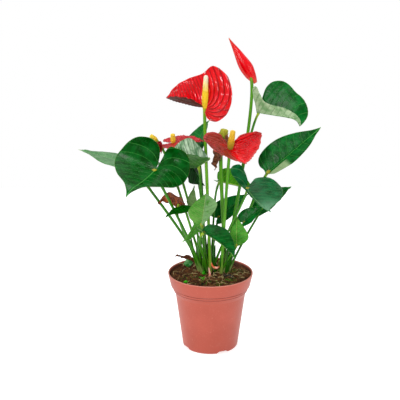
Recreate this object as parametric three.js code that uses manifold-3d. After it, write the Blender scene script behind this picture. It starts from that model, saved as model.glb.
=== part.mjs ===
// Potted anthurium: a nursery pot of soil, two crowns, and the leaves and flowers that grow from them.
// Millimetres, +Z up. The origin is the middle of the pot's underside, on the surface it stands on.
// -Y is the front of the plant, +X its right-hand side.

import * as THREE from 'three';
import { mergeVertices } from 'three/addons/utils/BufferGeometryUtils.js';
import Module from 'manifold-3d';

const wasm = await Module();
wasm.setup();

// ---------------------------------------------------------------- driving dimensions

const pot = {
  height: 110,
  rimRadius: 60,
  collarHeight: 18.5,
  collarFootRadius: 56,
  ringDrop: 6.5,
  ringRadius: 53.2,
  neckRadius: 49.6,
  neckDrop: 5.5,
  baseRadius: 39.6,
  cornerHeight: 5,
  footRadius: 37.6,
  wall: 1.3,
  floorGap: 4,
  hubRadius: 10,
  segments: 56,
};

const notch = { count: 4, first: -63, width: 17, topWidth: 12, height: 3.4 };
const drain = { count: 6, circle: 23, radius: 3 };

const gap = 0.3;
const rootLift = 1.6;
const soilEdge = 105.5;
const soilTop = 109;
const soilFlatRadius = 30;

const crown = { footRadius: 5.5, topRadius: 3.6, height: 15, sides: 14 };
const rootRings = [7.6, 11.8];
const crowns = {
  left: [-6, 8],
  right: [15, 6],
};

const bladeThickness = 0.9;
const bladeRings = [0.34, 0.7, 1];
const stemSides = 6;
const stemSteps = 8;

// ---------------------------------------------------------------- materials

const finish = (color, roughness, metalness = 0) =>
  new THREE.MeshStandardMaterial({ color, roughness, metalness });

const materials = {
  pot: finish('#c86452', 0.5),
  soil: finish('#4a3322', 0.95),
  crown: finish('#6f8a3a', 0.6),
  leaf: finish('#12692f', 0.3),
  youngLeaf: finish('#4f9a34', 0.4),
  stalk: finish('#6f9f2c', 0.5),
  spathe: finish('#d81228', 0.2),
  oldSpathe: finish('#a04a24', 0.6),
  spadix: finish('#f4d032', 0.6),
  oldSpadix: finish('#a4b522', 0.6),
  sheath: finish('#6a3a20', 0.8),
};

// ---------------------------------------------------------------- plant tables

// Outline of one half of a blade, from the notch at the joint to the tip, as shares of its length:
// [along the midrib, out from the midrib].
const leafOutline = [
  [-0.05, 0], [-0.22, 0.09], [-0.36, 0.24], [-0.29, 0.43], [-0.04, 0.54],
  [0.27, 0.48], [0.58, 0.3], [0.82, 0.11], [0.92, 0.035], [1, 0],
];
const spatheOutline = [
  [-0.05, 0], [-0.26, 0.08], [-0.48, 0.22], [-0.44, 0.5], [-0.13, 0.67],
  [0.25, 0.6], [0.58, 0.38], [0.82, 0.14], [0.92, 0.045], [1, 0],
];
// A long leaf with shallow lobes.
const longOutline = [
  [-0.05, 0], [-0.12, 0.1], [-0.14, 0.28], [0, 0.43], [0.27, 0.46],
  [0.58, 0.32], [0.82, 0.13], [0.93, 0.04], [1, 0],
];
// A young leaf, still an arrowhead with hardly any lobes.
const youngOutline = [
  [-0.05, 0], [-0.01, 0.12], [0.09, 0.31], [0.25, 0.42], [0.44, 0.36], [0.66, 0.21], [0.87, 0.06], [1, 0],
];
// The near half of the open flower's spathe, which has no lobe of its own behind the joint.
const shortLobe = [
  [-0.01, 0], [-0.02, 0.12], [0.02, 0.34], [0.14, 0.5], [0.33, 0.5], [0.58, 0.37], [0.82, 0.16], [1, 0],
];
// A broad heart whose lobes close up behind the joint.
const closedOutline = [
  [-0.05, 0], [-0.26, 0.03], [-0.43, 0.08], [-0.53, 0.21], [-0.49, 0.41], [-0.3, 0.56], [-0.04, 0.6],
  [0.25, 0.52], [0.52, 0.35], [0.74, 0.15], [0.88, 0.05], [1, 0],
];
// The same heart with a lobe that reaches over to the other half.
const fullerOutline = [
  [-0.05, 0], [-0.26, 0.02], [-0.43, 0.055], [-0.54, 0.18], [-0.5, 0.39], [-0.3, 0.56], [-0.04, 0.6],
  [0.25, 0.52], [0.52, 0.35], [0.74, 0.15], [0.88, 0.05], [1, 0],
];
// A leaf whose left half is broad and whose right half is a strip with a standing ear behind the joint.
const broadLeft = [
  [-0.05, 0], [-0.2, 0.1], [-0.36, 0.2], [-0.42, 0.34], [-0.34, 0.48], [-0.14, 0.57],
  [0.1, 0.58], [0.32, 0.52], [0.54, 0.4], [0.72, 0.22], [0.86, 0.06], [1, 0],
];
const earRight = [
  [-0.05, 0], [-0.22, -0.05], [-0.42, -0.02], [-0.6, 0.08], [-0.62, 0.2], [-0.45, 0.26], [-0.2, 0.17],
  [0.05, 0.06], [0.4, 0.05], [0.7, 0.04], [0.9, 0.02], [1, 0],
];
// The far half of a leaf cupped into a bowl: a tall round lobe, and narrow towards the tip.
const bowlFar = [
  [-0.05, 0], [-0.4, 0.1], [-0.74, 0.26], [-0.9, 0.42], [-0.8, 0.56], [-0.46, 0.63], [-0.1, 0.63],
  [0.2, 0.56], [0.42, 0.36], [0.58, 0.16], [0.78, 0.05], [1, 0],
];
// A spearhead: the upper half broad at its foot, the lower half slim.
const spearUpper = [
  [-0.05, 0], [-0.03, 0.09], [-0.04, 0.21], [0, 0.33], [0.1, 0.41], [0.25, 0.44],
  [0.45, 0.4], [0.65, 0.28], [0.85, 0.1], [0.95, 0.03], [1, 0],
];
const spearLower = [
  [-0.05, 0], [-0.01, 0.06], [0.06, 0.13], [0.18, 0.19], [0.36, 0.23],
  [0.55, 0.22], [0.73, 0.15], [0.87, 0.07], [0.95, 0.02], [1, 0],
];
// A leaf that has curled up: its far half stands like a sail and its near half is a low trough.
const curledFar = [
  [-0.05, 0], [0, 0.12], [0.03, 0.3], [0.08, 0.48], [0.2, 0.6], [0.38, 0.64],
  [0.56, 0.58], [0.74, 0.44], [0.88, 0.26], [0.96, 0.1], [1, 0],
];
const curledNear = [
  [-0.05, 0], [-0.08, 0.22], [-0.13, 0.48], [-0.14, 0.7], [-0.05, 0.75], [0.02, 0.55],
  [0.12, 0.36], [0.32, 0.28], [0.6, 0.24], [0.84, 0.12], [1, 0],
];
// A young leaf that opens askew: its left half widens near the middle, its right half near the tip.
const skewLeft = [
  [-0.05, 0], [0.02, 0.2], [0.15, 0.38], [0.35, 0.46], [0.6, 0.36], [0.85, 0.14], [1, 0],
];
const skewRight = [
  [-0.05, 0], [0.06, 0.12], [0.26, 0.3], [0.5, 0.45], [0.68, 0.5], [0.84, 0.36], [1, 0],
];
// The far half of the open flower's spathe: its round lobe swings past the midrib and hangs below it.
const sweptLobe = [
  [-0.01, 0], [-0.14, -0.22], [-0.36, -0.26], [-0.58, -0.05], [-0.66, 0.32],
  [-0.52, 0.72], [-0.16, 0.92], [0.08, 0.72], [0.4, 0.56], [0.72, 0.33], [1, 0],
];

const youngPair = [youngOutline, youngOutline];
const longPair = [longOutline, longOutline];
const earPair = [broadLeft, earRight];
const bowlPair = [bowlFar, leafOutline];
const spearPair = [spearUpper, spearLower];
const curledPair = [curledFar, curledNear];
const skewPair = [skewLeft, skewRight];

// A blade is placed by its joint with the stalk. heading turns it about Z (0 is right, -90 is front),
// pitch lifts its tip and roll lifts its left half. Pairs are [left half, right half], seen from above
// with the tip pointing away: width scales the half, fold lifts it from the midrib and cup bends it back
// down on the way out; curl is the cup of the lobes where it differs, and lobe lifts the lobes. arch bends
// the tip down, hook adds a bend near the tip and sway swings the tip to the left. Angles are degrees.
// grow is the crown that the stalk rises from.
const leaves = [
  { name: 'front_left', joint: [-75, -50, 272], heading: -112, pitch: -12, roll: -14, length: 85,
    width: [0.88, 1.12], fold: [25, 2], cup: [55, 0], arch: -16, hook: 58, lobe: [75, 75], sway: -3,
    outlines: [fullerOutline, closedOutline], grow: 'left', slot: [1, 8] },
  { name: 'far_left', joint: [-108, 25, 261], heading: 155, pitch: 5, roll: 5, length: 90,
    width: [0.95, 0.9], fold: [10, 10], cup: [15, 20], arch: -5, grow: 'left', slot: [1, 4] },
  { name: 'back_left', joint: [-17, -2, 264], heading: -60, pitch: 30, roll: 24, length: 66,
    width: [1.05, 1.1], fold: [70, 54], cup: [-10, 0], hook: -20, sway: -15, outlines: bowlPair,
    grow: 'left', slot: [0, 6] },
  { name: 'dark_left', joint: [-27, 44, 254], heading: -68, pitch: -20, roll: 70, length: 52,
    width: [0.66, 0.9], fold: [24, 8], cup: [18, 18], outlines: youngPair, grow: 'left', slot: [0, 2] },
  { name: 'tall_back', joint: [-21, 86, 268], heading: 60, pitch: 55, roll: -25, length: 52,
    width: [1, 1], fold: [20, 25], cup: [20, 20], arch: 20, grow: 'left', slot: [1, 3] },
  { name: 'top_right', joint: [65, 0, 339], heading: -12, pitch: -5, roll: 15, length: 62,
    width: [1.2, 1], fold: [65, 75], cup: [10, 0], arch: 5, hook: 70, outlines: curledPair,
    grow: 'right', slot: [0, 10] },
  { name: 'right', joint: [80, 11, 253], heading: 12, pitch: 39, roll: 66, length: 96,
    width: [0.68, 0.9], fold: [0, 50], cup: [10, 0], outlines: spearPair, grow: 'right', slot: [0, 0] },
  { name: 'mid_right', joint: [49, -38, 244], heading: -81, pitch: -10, roll: 8, length: 69,
    width: [1.18, 1], fold: [-4, 10], cup: [10, 0], arch: 10, hook: 2, lobe: [5, 78], sway: 15,
    outlines: earPair, grow: 'right', slot: [1, 6] },
  { name: 'right_rear', joint: [73, 35, 191], heading: 10, pitch: 38, roll: 55, length: 54,
    width: [0.9, 0.45], fold: [10, 40], cup: [15, 10], arch: 8, lobe: [-40, -40], outlines: longPair,
    grow: 'right', slot: [1, 0] },
  { name: 'behind_stems', joint: [14, 38, 232], heading: 5, pitch: -14, roll: -62, length: 52,
    width: [0.85, 1.1], fold: [48, 8], cup: [10, 10], arch: 5, outlines: longPair,
    grow: 'left', slot: [0, 1] },
  { name: 'inner_back', joint: [12, 42, 178], heading: 10, pitch: 38, roll: 50, length: 55,
    width: [0.75, 0.5], fold: [8, 15], cup: [12, 12], arch: 8, outlines: longPair,
    grow: 'left', slot: [1, 2] },
  { name: 'low_right', joint: [47, 0, 184], heading: 8, pitch: 38, roll: 58, length: 36,
    width: [0.85, 0.7], fold: [10, 50], cup: [12, 10], arch: 5, outlines: longPair,
    grow: 'right', slot: [0, 11] },
  { name: 'centre_left', joint: [-13, -64, 201], heading: 66, pitch: 66, roll: 0, length: 42,
    width: [1.1, 1], fold: [10, 20], cup: [10, 10], arch: -5, outlines: skewPair,
    grow: 'left', slot: [0, 8], young: true },
  { name: 'left_low', joint: [-27, -33, 210], heading: 195, pitch: 4, roll: 8, length: 38,
    width: [0.8, 0.9], fold: [10, 30], cup: [15, 15], arch: 25, outlines: longPair,
    grow: 'left', slot: [0, 7] },
  { name: 'left_grey', joint: [-25, 10, 201], heading: 75, pitch: 76, roll: -20, length: 32,
    width: [0.75, 0.5], fold: [15, 15], cup: [10, 10], outlines: youngPair,
    grow: 'left', slot: [1, 7], young: true },
  { name: 'low_left', joint: [-15, -37, 193], heading: 225, pitch: -38, roll: -108, length: 36,
    width: [0.8, 0.8], fold: [5, 10], cup: [20, 15], arch: 15, grow: 'left', slot: [0, 10], young: true },
  { name: 'front_low', joint: [-10, -72, 192], heading: -43, pitch: -12, roll: -10, length: 58,
    width: [1.05, 0.7], fold: [25, 30], cup: [10, 10], arch: 20, hook: 25, sway: 8,
    outlines: longPair, grow: 'left', slot: [0, 9] },
  { name: 'low_right_pale', joint: [36, -15, 155], heading: 90, pitch: 75, roll: -5, length: 42,
    width: [0.6, 0.95], fold: [5, 5], cup: [10, 10], outlines: youngPair,
    grow: 'right', slot: [0, 9], young: true },
];

// Flowers carry the same blade as a spathe, with the spadix standing in its notch. lean tips the spadix
// [to the right, to the back] in degrees.
const flowers = [
  { name: 'open', joint: [-11, -20, 351], heading: 155, pitch: 3, roll: -22, length: 62,
    width: [0.95, 1], fold: [55, 62], cup: [5, 0], arch: 7, sway: -12, outlines: [shortLobe, sweptLobe],
    spadix: [47, 3.8, 2.6], lean: [2, -14], grow: 'left', slot: [1, 10], peduncle: 2.3 },
  { name: 'middle', joint: [26, -31, 295], heading: -85, pitch: -12, roll: -10, length: 60,
    width: [1.2, 1], fold: [18, 5], cup: [-30, -15], arch: -20, lobe: [22, 22], sway: 12,
    spadix: [26, 4.2, 3.2], lean: [8, 0], grow: 'right', slot: [1, 9], peduncle: 2.2 },
  { name: 'old_green', joint: [14, 4, 294], heading: 205, pitch: -70, roll: 0, length: 37,
    width: [0.8, 0.8], fold: [15, 15], cup: [25, 25], arch: 10,
    spadix: [18, 5.5, 5], lean: [12, 5], grow: 'right', slot: [1, 2], peduncle: 2.8, old: true },
  { name: 'left', joint: [-51, 73, 280], heading: -17, pitch: 10, roll: 8, length: 45,
    width: [1, 1], fold: [1, 0], cup: [5, -8], arch: 5, hook: 15,
    spadix: [13, 3.4, 2.8], lean: [-3, 0], grow: 'left', slot: [0, 3], peduncle: 1.8 },
  { name: 'far_left', joint: [-74, 17, 295], heading: -60, pitch: -40, roll: 0, length: 19,
    width: [0.6, 0.5], fold: [15, 15], cup: [20, 20], arch: 20, outlines: [shortLobe, shortLobe],
    spadix: [11, 3, 2.4], lean: [-50, 0], grow: 'left', slot: [0, 4], peduncle: 1.8 },
];
const witheredSpathe = { name: 'withered', joint: [-44, -5, 212], heading: 135, pitch: 6, roll: 30,
  length: 38, width: [1, 0.9], fold: [50, 10], cup: [42, 60], arch: 30, lobe: [-40, -40],
  grow: 'left', slot: [1, 6] };
const drySheath = { joint: [-19, 13, 119], heading: 170, pitch: 24, roll: 50, length: 34,
  width: [0.45, 0.45], fold: [35, 35], cup: [20, 20], arch: 20 };
// The bud's spathe is rolled round the line from foot to tip. Its stalk meets its front, at hold.
const bud = { foot: [61, 19, 377], tip: [24, 19, 438], radius: 9.5, hold: 12.5,
  grow: 'right', slot: [1, 1], peduncle: 2.3 };

// ---------------------------------------------------------------- small helpers

const radians = THREE.MathUtils.degToRad;

/** A polar place about +Z, as [x, y]. */
function polar(radius, degrees) {
  return [radius * Math.cos(radians(degrees)), radius * Math.sin(radians(degrees))];
}

/** A geometry as a manifold solid, for cutting. */
function toSolid(geometry) {
  const bare = geometry.clone();
  bare.deleteAttribute('normal');
  bare.deleteAttribute('uv');
  const merged = mergeVertices(bare, 1e-4);
  return new wasm.Manifold(new wasm.Mesh({
    numProp: 3,
    vertProperties: merged.attributes.position.array,
    triVerts: new Uint32Array(merged.index.array),
  }));
}

/** A manifold solid as a geometry again. */
function toGeometry(solid) {
  const mesh = solid.getMesh();
  const geometry = new THREE.BufferGeometry();
  geometry.setAttribute('position', new THREE.BufferAttribute(mesh.vertProperties, 3));
  geometry.setIndex(new THREE.BufferAttribute(mesh.triVerts, 1));
  geometry.computeVertexNormals();
  return geometry;
}

/** A solid without what its neighbours need, as one body: the crumbs that the cut leaves are dropped. */
function cutClear(solid, neighbours) {
  const left = neighbours.reduce((rest, neighbour) => rest.subtract(neighbour), solid).simplify(0.02);
  return left.decompose().reduce((largest, piece) => (piece.volume() > largest.volume() ? piece : largest));
}

/** A profile of [radius, height] pairs turned about +Z. */
function turned(profile, segments) {
  const points = profile.map(([radius, height]) => new THREE.Vector2(radius, height));
  return new THREE.LatheGeometry(points, segments).rotateX(Math.PI / 2);
}

/** Length along and rise of a path that starts at an angle and bends evenly over its length. */
function arcStep(length, startAngle, bend) {
  if (Math.abs(bend * length) < 1e-6) {
    return { along: length * Math.cos(startAngle), rise: length * Math.sin(startAngle), angle: startAngle };
  }
  const endAngle = startAngle + bend * length;
  return {
    along: (Math.sin(endAngle) - Math.sin(startAngle)) / bend,
    rise: (Math.cos(startAngle) - Math.cos(endAngle)) / bend,
    angle: endAngle,
  };
}

// ---------------------------------------------------------------- pot and soil

/** Radius of the pot's outer wall at a height between its foot corner and the neck under the ring. */
function bodyRadius(height) {
  const neckHeight = pot.height - pot.collarHeight - pot.ringDrop - pot.neckDrop;
  const share = (height - pot.cornerHeight) / (neckHeight - pot.cornerHeight);
  return pot.baseRadius + share * (pot.neckRadius - pot.baseRadius);
}

/** The pot's outer wall from its foot to its rim. */
function potOutside() {
  const collarFoot = pot.height - pot.collarHeight;
  const ring = collarFoot - pot.ringDrop;
  const neck = ring - pot.neckDrop;
  const step = 0.7;
  return [
    [pot.footRadius, 0],
    [pot.baseRadius - 0.6, 2],
    [pot.baseRadius, pot.cornerHeight],
    [pot.neckRadius, neck],
    [pot.ringRadius - step, ring],
    [pot.ringRadius, ring + step],
    [pot.collarFootRadius - step, collarFoot - step],
    [pot.collarFootRadius, collarFoot],
    [pot.rimRadius, pot.height - 1],
    [pot.rimRadius - 0.4, pot.height],
  ];
}

/** The pot's inner wall from its rim to its floor. */
function potInside() {
  const collarFoot = pot.height - pot.collarHeight;
  const neck = collarFoot - pot.ringDrop - pot.neckDrop;
  const floor = pot.floorGap + pot.wall;
  return [
    [pot.rimRadius - pot.wall - 0.4, pot.height],
    [pot.collarFootRadius - pot.wall - 0.4, collarFoot],
    [pot.neckRadius - pot.wall, neck],
    [bodyRadius(floor) - pot.wall, floor],
  ];
}

function potGeometry() {
  const underside = [[0, 0], [pot.hubRadius, 0], [pot.hubRadius, pot.floorGap],
    [pot.footRadius - pot.wall, pot.floorGap], [pot.footRadius - pot.wall, 0]];
  const floor = pot.floorGap + pot.wall;
  let solid = toSolid(turned([...underside, ...potOutside(), ...potInside(), [0, floor]], pot.segments));
  for (let i = 0; i < notch.count; i += 1) {
    solid = solid.subtract(toSolid(notchCutter(notch.first + (i * 360) / notch.count)));
  }
  for (let i = 0; i < drain.count; i += 1) {
    const [x, y] = polar(drain.circle, (i * 360) / drain.count);
    const hole = new THREE.CylinderGeometry(drain.radius, drain.radius, 12, 10).rotateX(Math.PI / 2);
    solid = solid.subtract(toSolid(hole.translate(x, y, pot.floorGap)));
  }
  return toGeometry(solid);
}

/** A trapezoid bar that cuts one notch in the foot edge at a given angle. */
function notchCutter(degrees) {
  const face = new THREE.Shape([
    new THREE.Vector2(-notch.width / 2, -1),
    new THREE.Vector2(notch.width / 2, -1),
    new THREE.Vector2(notch.topWidth / 2, notch.height),
    new THREE.Vector2(-notch.topWidth / 2, notch.height),
  ]);
  const depth = 12;
  return new THREE.ExtrudeGeometry(face, { depth, bevelEnabled: false })
    .rotateX(Math.PI / 2)
    .translate(0, depth, 0)
    .translate(0, pot.footRadius - depth / 2, 0)
    .rotateZ(radians(degrees - 90));
}

function soilGeometry() {
  const inset = gap + 0.1;
  const inner = potInside();
  const floor = inner[3];
  const neck = inner[2];
  const foot = inner[1];
  const share = (soilEdge - foot[1]) / (pot.height - foot[1]);
  const edgeRadius = foot[0] + share * (inner[0][0] - foot[0]);
  return turned([
    [0, floor[1] + inset],
    [floor[0] - inset, floor[1] + inset],
    [neck[0] - inset, neck[1]],
    [foot[0] - inset, foot[1]],
    [edgeRadius - inset, soilEdge],
    [(edgeRadius + soilFlatRadius) / 2, (soilEdge + soilTop) / 2 + 0.8],
    [soilFlatRadius, soilTop],
    [0, soilTop],
  ], pot.segments);
}

function crownGeometry() {
  return turned([
    [0, 0],
    [crown.footRadius, 0],
    [crown.footRadius * 0.9, crown.height * 0.5],
    [crown.topRadius, crown.height],
    [0, crown.height + 1.5],
  ], crown.sides);
}

// ---------------------------------------------------------------- blades

/** The outline points of one half as a smooth curve of (along, out) shares. */
function outlineCurve(points) {
  return new THREE.SplineCurve(points.map(([along, out]) => new THREE.Vector2(along, out)));
}

/** Height and lean of the midrib at a share of the blade's length; the lobes are at negative shares. */
function midrib(blade, side, share) {
  const { length, arch = 0, hook = 0, lobe = [0, 0] } = blade;
  if (share < 0) {
    const back = arcStep(-share * length, 0, radians(lobe[side]) / (0.4 * length));
    return { x: -back.along, z: back.rise, lean: -back.angle };
  }
  const hookStart = 0.7;
  const bend = -radians(arch) / length;
  const first = arcStep(Math.min(share, hookStart) * length, 0, bend);
  const extra = radians(hook) / ((1 - hookStart) * length);
  const second = arcStep(Math.max(share - hookStart, 0) * length, first.angle, bend - extra);
  return { x: first.along + second.along, z: first.rise + second.rise, lean: second.angle };
}

/** A point of the blade's middle surface in its own axes. side is 0 for the left half, 1 for the right. */
function bladePoint(blade, side, along, out) {
  const { length, width, fold, cup, curl = cup, sway = 0 } = blade;
  const half = 0.5 * length * width[side];
  const behind = THREE.MathUtils.clamp(-along / 0.2, 0, 1);
  const bend = radians(THREE.MathUtils.lerp(cup[side], curl[side], behind));
  const across = arcStep(out * length * width[side], radians(fold[side]), -bend / half);
  const y = side === 0 ? across.along : -across.along;
  const rib = midrib(blade, side, along);
  const swing = length * Math.tan(radians(sway)) * Math.max(along, 0) ** 2;
  const { rise } = across;
  return new THREE.Vector3(rib.x - rise * Math.sin(rib.lean), y + swing, rib.z + rise * Math.cos(rib.lean));
}

/** The middle surface as a fan of rings about the joint: a centre vertex, then one loop per ring. */
function bladeSurface(blade, outlines, stationsPerHalf) {
  const loop = [];
  for (let i = 0; i < stationsPerHalf; i += 1) {
    const point = outlineCurve(outlines[0]).getPoint(1 - i / stationsPerHalf);
    loop.push({ side: 0, along: point.x, out: point.y });
  }
  for (let i = 0; i < stationsPerHalf; i += 1) {
    const point = outlineCurve(outlines[1]).getPoint(i / stationsPerHalf);
    loop.push({ side: 1, along: point.x, out: point.y });
  }
  const vertices = [new THREE.Vector3()];
  for (const ring of bladeRings) {
    for (const { side, along, out } of loop) {
      vertices.push(bladePoint(blade, side, along * ring, out * ring));
    }
  }
  const count = loop.length;
  const faces = [];
  for (let i = 0; i < count; i += 1) {
    faces.push([0, 1 + i, 1 + ((i + 1) % count)]);
    for (let ring = 1; ring < bladeRings.length; ring += 1) {
      const a = 1 + (ring - 1) * count + i;
      const b = 1 + (ring - 1) * count + ((i + 1) % count);
      faces.push([a, a + count, b + count], [a, b + count, b]);
    }
  }
  return { vertices, faces, count };
}

/** A closed sheet of even thickness about a blade's middle surface. */
function bladeGeometry(blade, outlines, stationsPerHalf = 12) {
  const { vertices, faces, count } = bladeSurface(blade, outlines, stationsPerHalf);
  const middle = new THREE.BufferGeometry().setFromPoints(vertices);
  middle.setIndex(faces.flat());
  middle.computeVertexNormals();
  const normal = new THREE.Vector3();
  const offset = (direction) => vertices.map((vertex, i) => {
    normal.fromBufferAttribute(middle.attributes.normal, i);
    return vertex.clone().addScaledVector(normal, (direction * bladeThickness) / 2);
  });
  const total = vertices.length;
  const rimStart = total - count;
  const indices = faces.flat();
  faces.forEach(([a, b, c]) => indices.push(a + total, c + total, b + total));
  for (let i = 0; i < count; i += 1) {
    const a = rimStart + i;
    const b = rimStart + ((i + 1) % count);
    indices.push(a, a + total, b + total, a, b + total, b);
  }
  const geometry = new THREE.BufferGeometry().setFromPoints([...offset(1), ...offset(-1)]);
  geometry.setIndex(indices);
  geometry.computeVertexNormals();
  return geometry;
}

/** Turns and moves a mesh to where its blade grows. */
function place(mesh, blade) {
  mesh.rotation.set(radians(blade.roll), -radians(blade.pitch), radians(blade.heading), 'ZYX');
  mesh.position.set(...blade.joint);
  return mesh;
}

/** Directions of a placed blade: forward to its tip, and up out of its glossy side. */
function bladeAxes(blade) {
  const euler = new THREE.Euler(radians(blade.roll), -radians(blade.pitch), radians(blade.heading), 'ZYX');
  return {
    forward: new THREE.Vector3(1, 0, 0).applyEuler(euler),
    up: new THREE.Vector3(0, 0, 1).applyEuler(euler),
  };
}

// ---------------------------------------------------------------- stems

/** A round stem of one radius along a curve. */
function stemGeometry(curve, radius, steps = stemSteps) {
  const corners = [];
  for (let i = 0; i < stemSides; i += 1) {
    const [x, y] = polar(radius, (i * 360) / stemSides);
    corners.push(new THREE.Vector2(x, y));
  }
  return new THREE.ExtrudeGeometry(new THREE.Shape(corners), { extrudePath: curve, steps });
}

/** The curve of a stem from its root at a crown to where it meets a blade, arriving along a direction. */
function stemCurve(root, end, arrival, bow) {
  const reach = root.distanceTo(end);
  const rise = new THREE.Vector3().subVectors(end, root).multiplyScalar(0.45);
  rise.z += reach * bow;
  const first = root.clone().addScaledVector(rise, 0.8);
  const last = end.clone().addScaledVector(arrival, -Math.min(0.22 * reach, 22));
  return new THREE.CubicBezierCurve3(root, first, last, end);
}

/** The root of a stem: its slot is [ring about the crown, twelfths of a turn from the right-hand side]. */
function rootPlace(stem) {
  const [ring, twelfths] = stem.slot;
  const [cx, cy] = crowns[stem.grow];
  const [x, y] = polar(rootRings[ring], twelfths * 30);
  return new THREE.Vector3(cx + x, cy + y, soilTop + rootLift);
}

// ---------------------------------------------------------------- assembly

const plant = new THREE.Group();

function add(name, geometry, material) {
  const mesh = new THREE.Mesh(geometry, material);
  mesh.name = name;
  plant.add(mesh);
  return mesh;
}

function addPot() {
  add('pot', potGeometry(), materials.pot);
  add('soil', soilGeometry(), materials.soil);
  for (const [name, [x, y]] of Object.entries(crowns)) {
    add(`crown_${name}`, crownGeometry(), materials.crown).position.set(x, y, soilTop + gap);
  }
}

function addLeaf(leaf) {
  const material = leaf.young ? materials.youngLeaf : materials.leaf;
  const blade = bladeGeometry(leaf, leaf.outlines ?? [leafOutline, leafOutline]);
  place(add(`leaf_${leaf.name}`, blade, material), leaf);
  const { forward, up } = bladeAxes(leaf);
  const radius = 1.1 + leaf.length * 0.01;
  const arrival = up.clone().multiplyScalar(0.85).addScaledVector(forward, 0.5).normalize();
  const drop = bladeThickness / 2 + gap + radius * 0.8;
  const end = new THREE.Vector3(...leaf.joint).addScaledVector(up, -drop);
  const curve = stemCurve(rootPlace(leaf), end, arrival, 0.1);
  add(`stalk_${leaf.name}`, stemGeometry(curve, radius), materials.stalk);
}

/** A spadix: a blunt, slightly tapered spike of [height, foot radius, top radius]. */
function spadixGeometry([height, footRadius, topRadius]) {
  return turned([
    [0, 0],
    [footRadius * 0.7, 0],
    [footRadius, height * 0.12],
    [(footRadius + topRadius) / 2, height * 0.6],
    [topRadius, height * 0.92],
    [topRadius * 0.6, height * 0.985],
    [0, height],
  ], 12);
}

function addFlower(flower) {
  const old = Boolean(flower.old);
  const outlines = flower.outlines ?? [spatheOutline, spatheOutline];
  const { forward } = bladeAxes(flower);
  const [height, footRadius, topRadius] = flower.spadix;
  const foot = new THREE.Vector3(...flower.joint).addScaledVector(forward, -0.7 * footRadius);
  const [right, back] = flower.lean;
  const spadix = add(`spadix_${flower.name}`, spadixGeometry(flower.spadix),
    old ? materials.oldSpadix : materials.spadix);
  spadix.position.copy(foot);
  spadix.rotation.set(radians(-back), radians(right), 0);
  const arrival = new THREE.Vector3(0, 0, 1).applyEuler(spadix.rotation);
  const end = foot.clone().addScaledVector(arrival, -gap);
  const route = stemCurve(rootPlace(flower), end, arrival, 0.05);
  add(`peduncle_${flower.name}`, stemGeometry(route, flower.peduncle), materials.stalk);

  const spathe = add(`spathe_${flower.name}`, bladeGeometry(flower, outlines),
    old ? materials.oldSpathe : materials.spathe);
  place(spathe, flower);
  spathe.updateMatrix();
  spadix.updateMatrix();
  const reach = height + 14;
  const room = new THREE.CylinderGeometry(footRadius + gap, footRadius + gap, reach, 10).rotateX(Math.PI / 2)
    .translate(0, 0, reach / 2 - 12)
    .applyMatrix4(spadix.matrix)
    .applyMatrix4(spathe.matrix.clone().invert());
  const cut = cutClear(toSolid(spathe.geometry), [toSolid(room)]);
  spathe.geometry = toGeometry(cut);
}

/** The rolled spathe of a bud: a slender spindle from its foot to its tip, with its stalk up its front. */
function addBud() {
  const foot = new THREE.Vector3(...bud.foot);
  const axis = new THREE.Vector3(...bud.tip).sub(foot);
  const height = axis.length();
  const widths = [[0.3, 0], [0.8, 0.16], [1, 0.35], [0.72, 0.6], [0.3, 0.84], [0.06, 1]];
  const profile = new THREE.SplineCurve(
    widths.map(([width, along]) => new THREE.Vector2(width * bud.radius, along * height)),
  );
  const rings = profile.getPoints(9).map((point) => [point.x, point.y]);
  const mesh = add('spathe_bud', turned([[0, 0], ...rings, [0, height + 0.5]], 12), materials.spathe);
  mesh.position.copy(foot);
  mesh.quaternion.setFromUnitVectors(new THREE.Vector3(0, 0, 1), axis.clone().normalize());
  const end = foot.clone().addScaledVector(axis.normalize(), bud.hold);
  end.y -= 0.8 * bud.radius + bud.peduncle + 2 * gap;
  const curve = stemCurve(rootPlace(bud), end, axis, 0.05);
  add('peduncle_bud', stemGeometry(curve, bud.peduncle), materials.stalk);
}

function addWitheredSpathe() {
  const spathe = add('spathe_withered', bladeGeometry(witheredSpathe, [leafOutline, leafOutline]),
    materials.oldSpathe);
  place(spathe, witheredSpathe);
  const { up } = bladeAxes(witheredSpathe);
  const drop = bladeThickness / 2 + gap + 1;
  const end = new THREE.Vector3(...witheredSpathe.joint).addScaledVector(up, -drop);
  const curve = stemCurve(rootPlace(witheredSpathe), end, up, 0.05);
  add('peduncle_withered', stemGeometry(curve, 1.2), materials.stalk);
}

function addDrySheath() {
  place(add('dry_sheath', bladeGeometry(drySheath, youngPair, 6), materials.sheath), drySheath);
}

addPot();
leaves.forEach(addLeaf);
flowers.forEach(addFlower);
addWitheredSpathe();
addBud();
addDrySheath();

export default plant;
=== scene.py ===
"""Looks of a potted anthurium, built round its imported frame.

Metres, +Z up, -Y the front of the plant. The tables are in millimetres and degrees, like the part's own,
and their maths repeats the part's, so that each finished piece lies where its plain solid lies.
"""

import math
import random
from types import SimpleNamespace

import bpy
import numpy as np
from mathutils import Euler, Matrix, Vector


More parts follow.
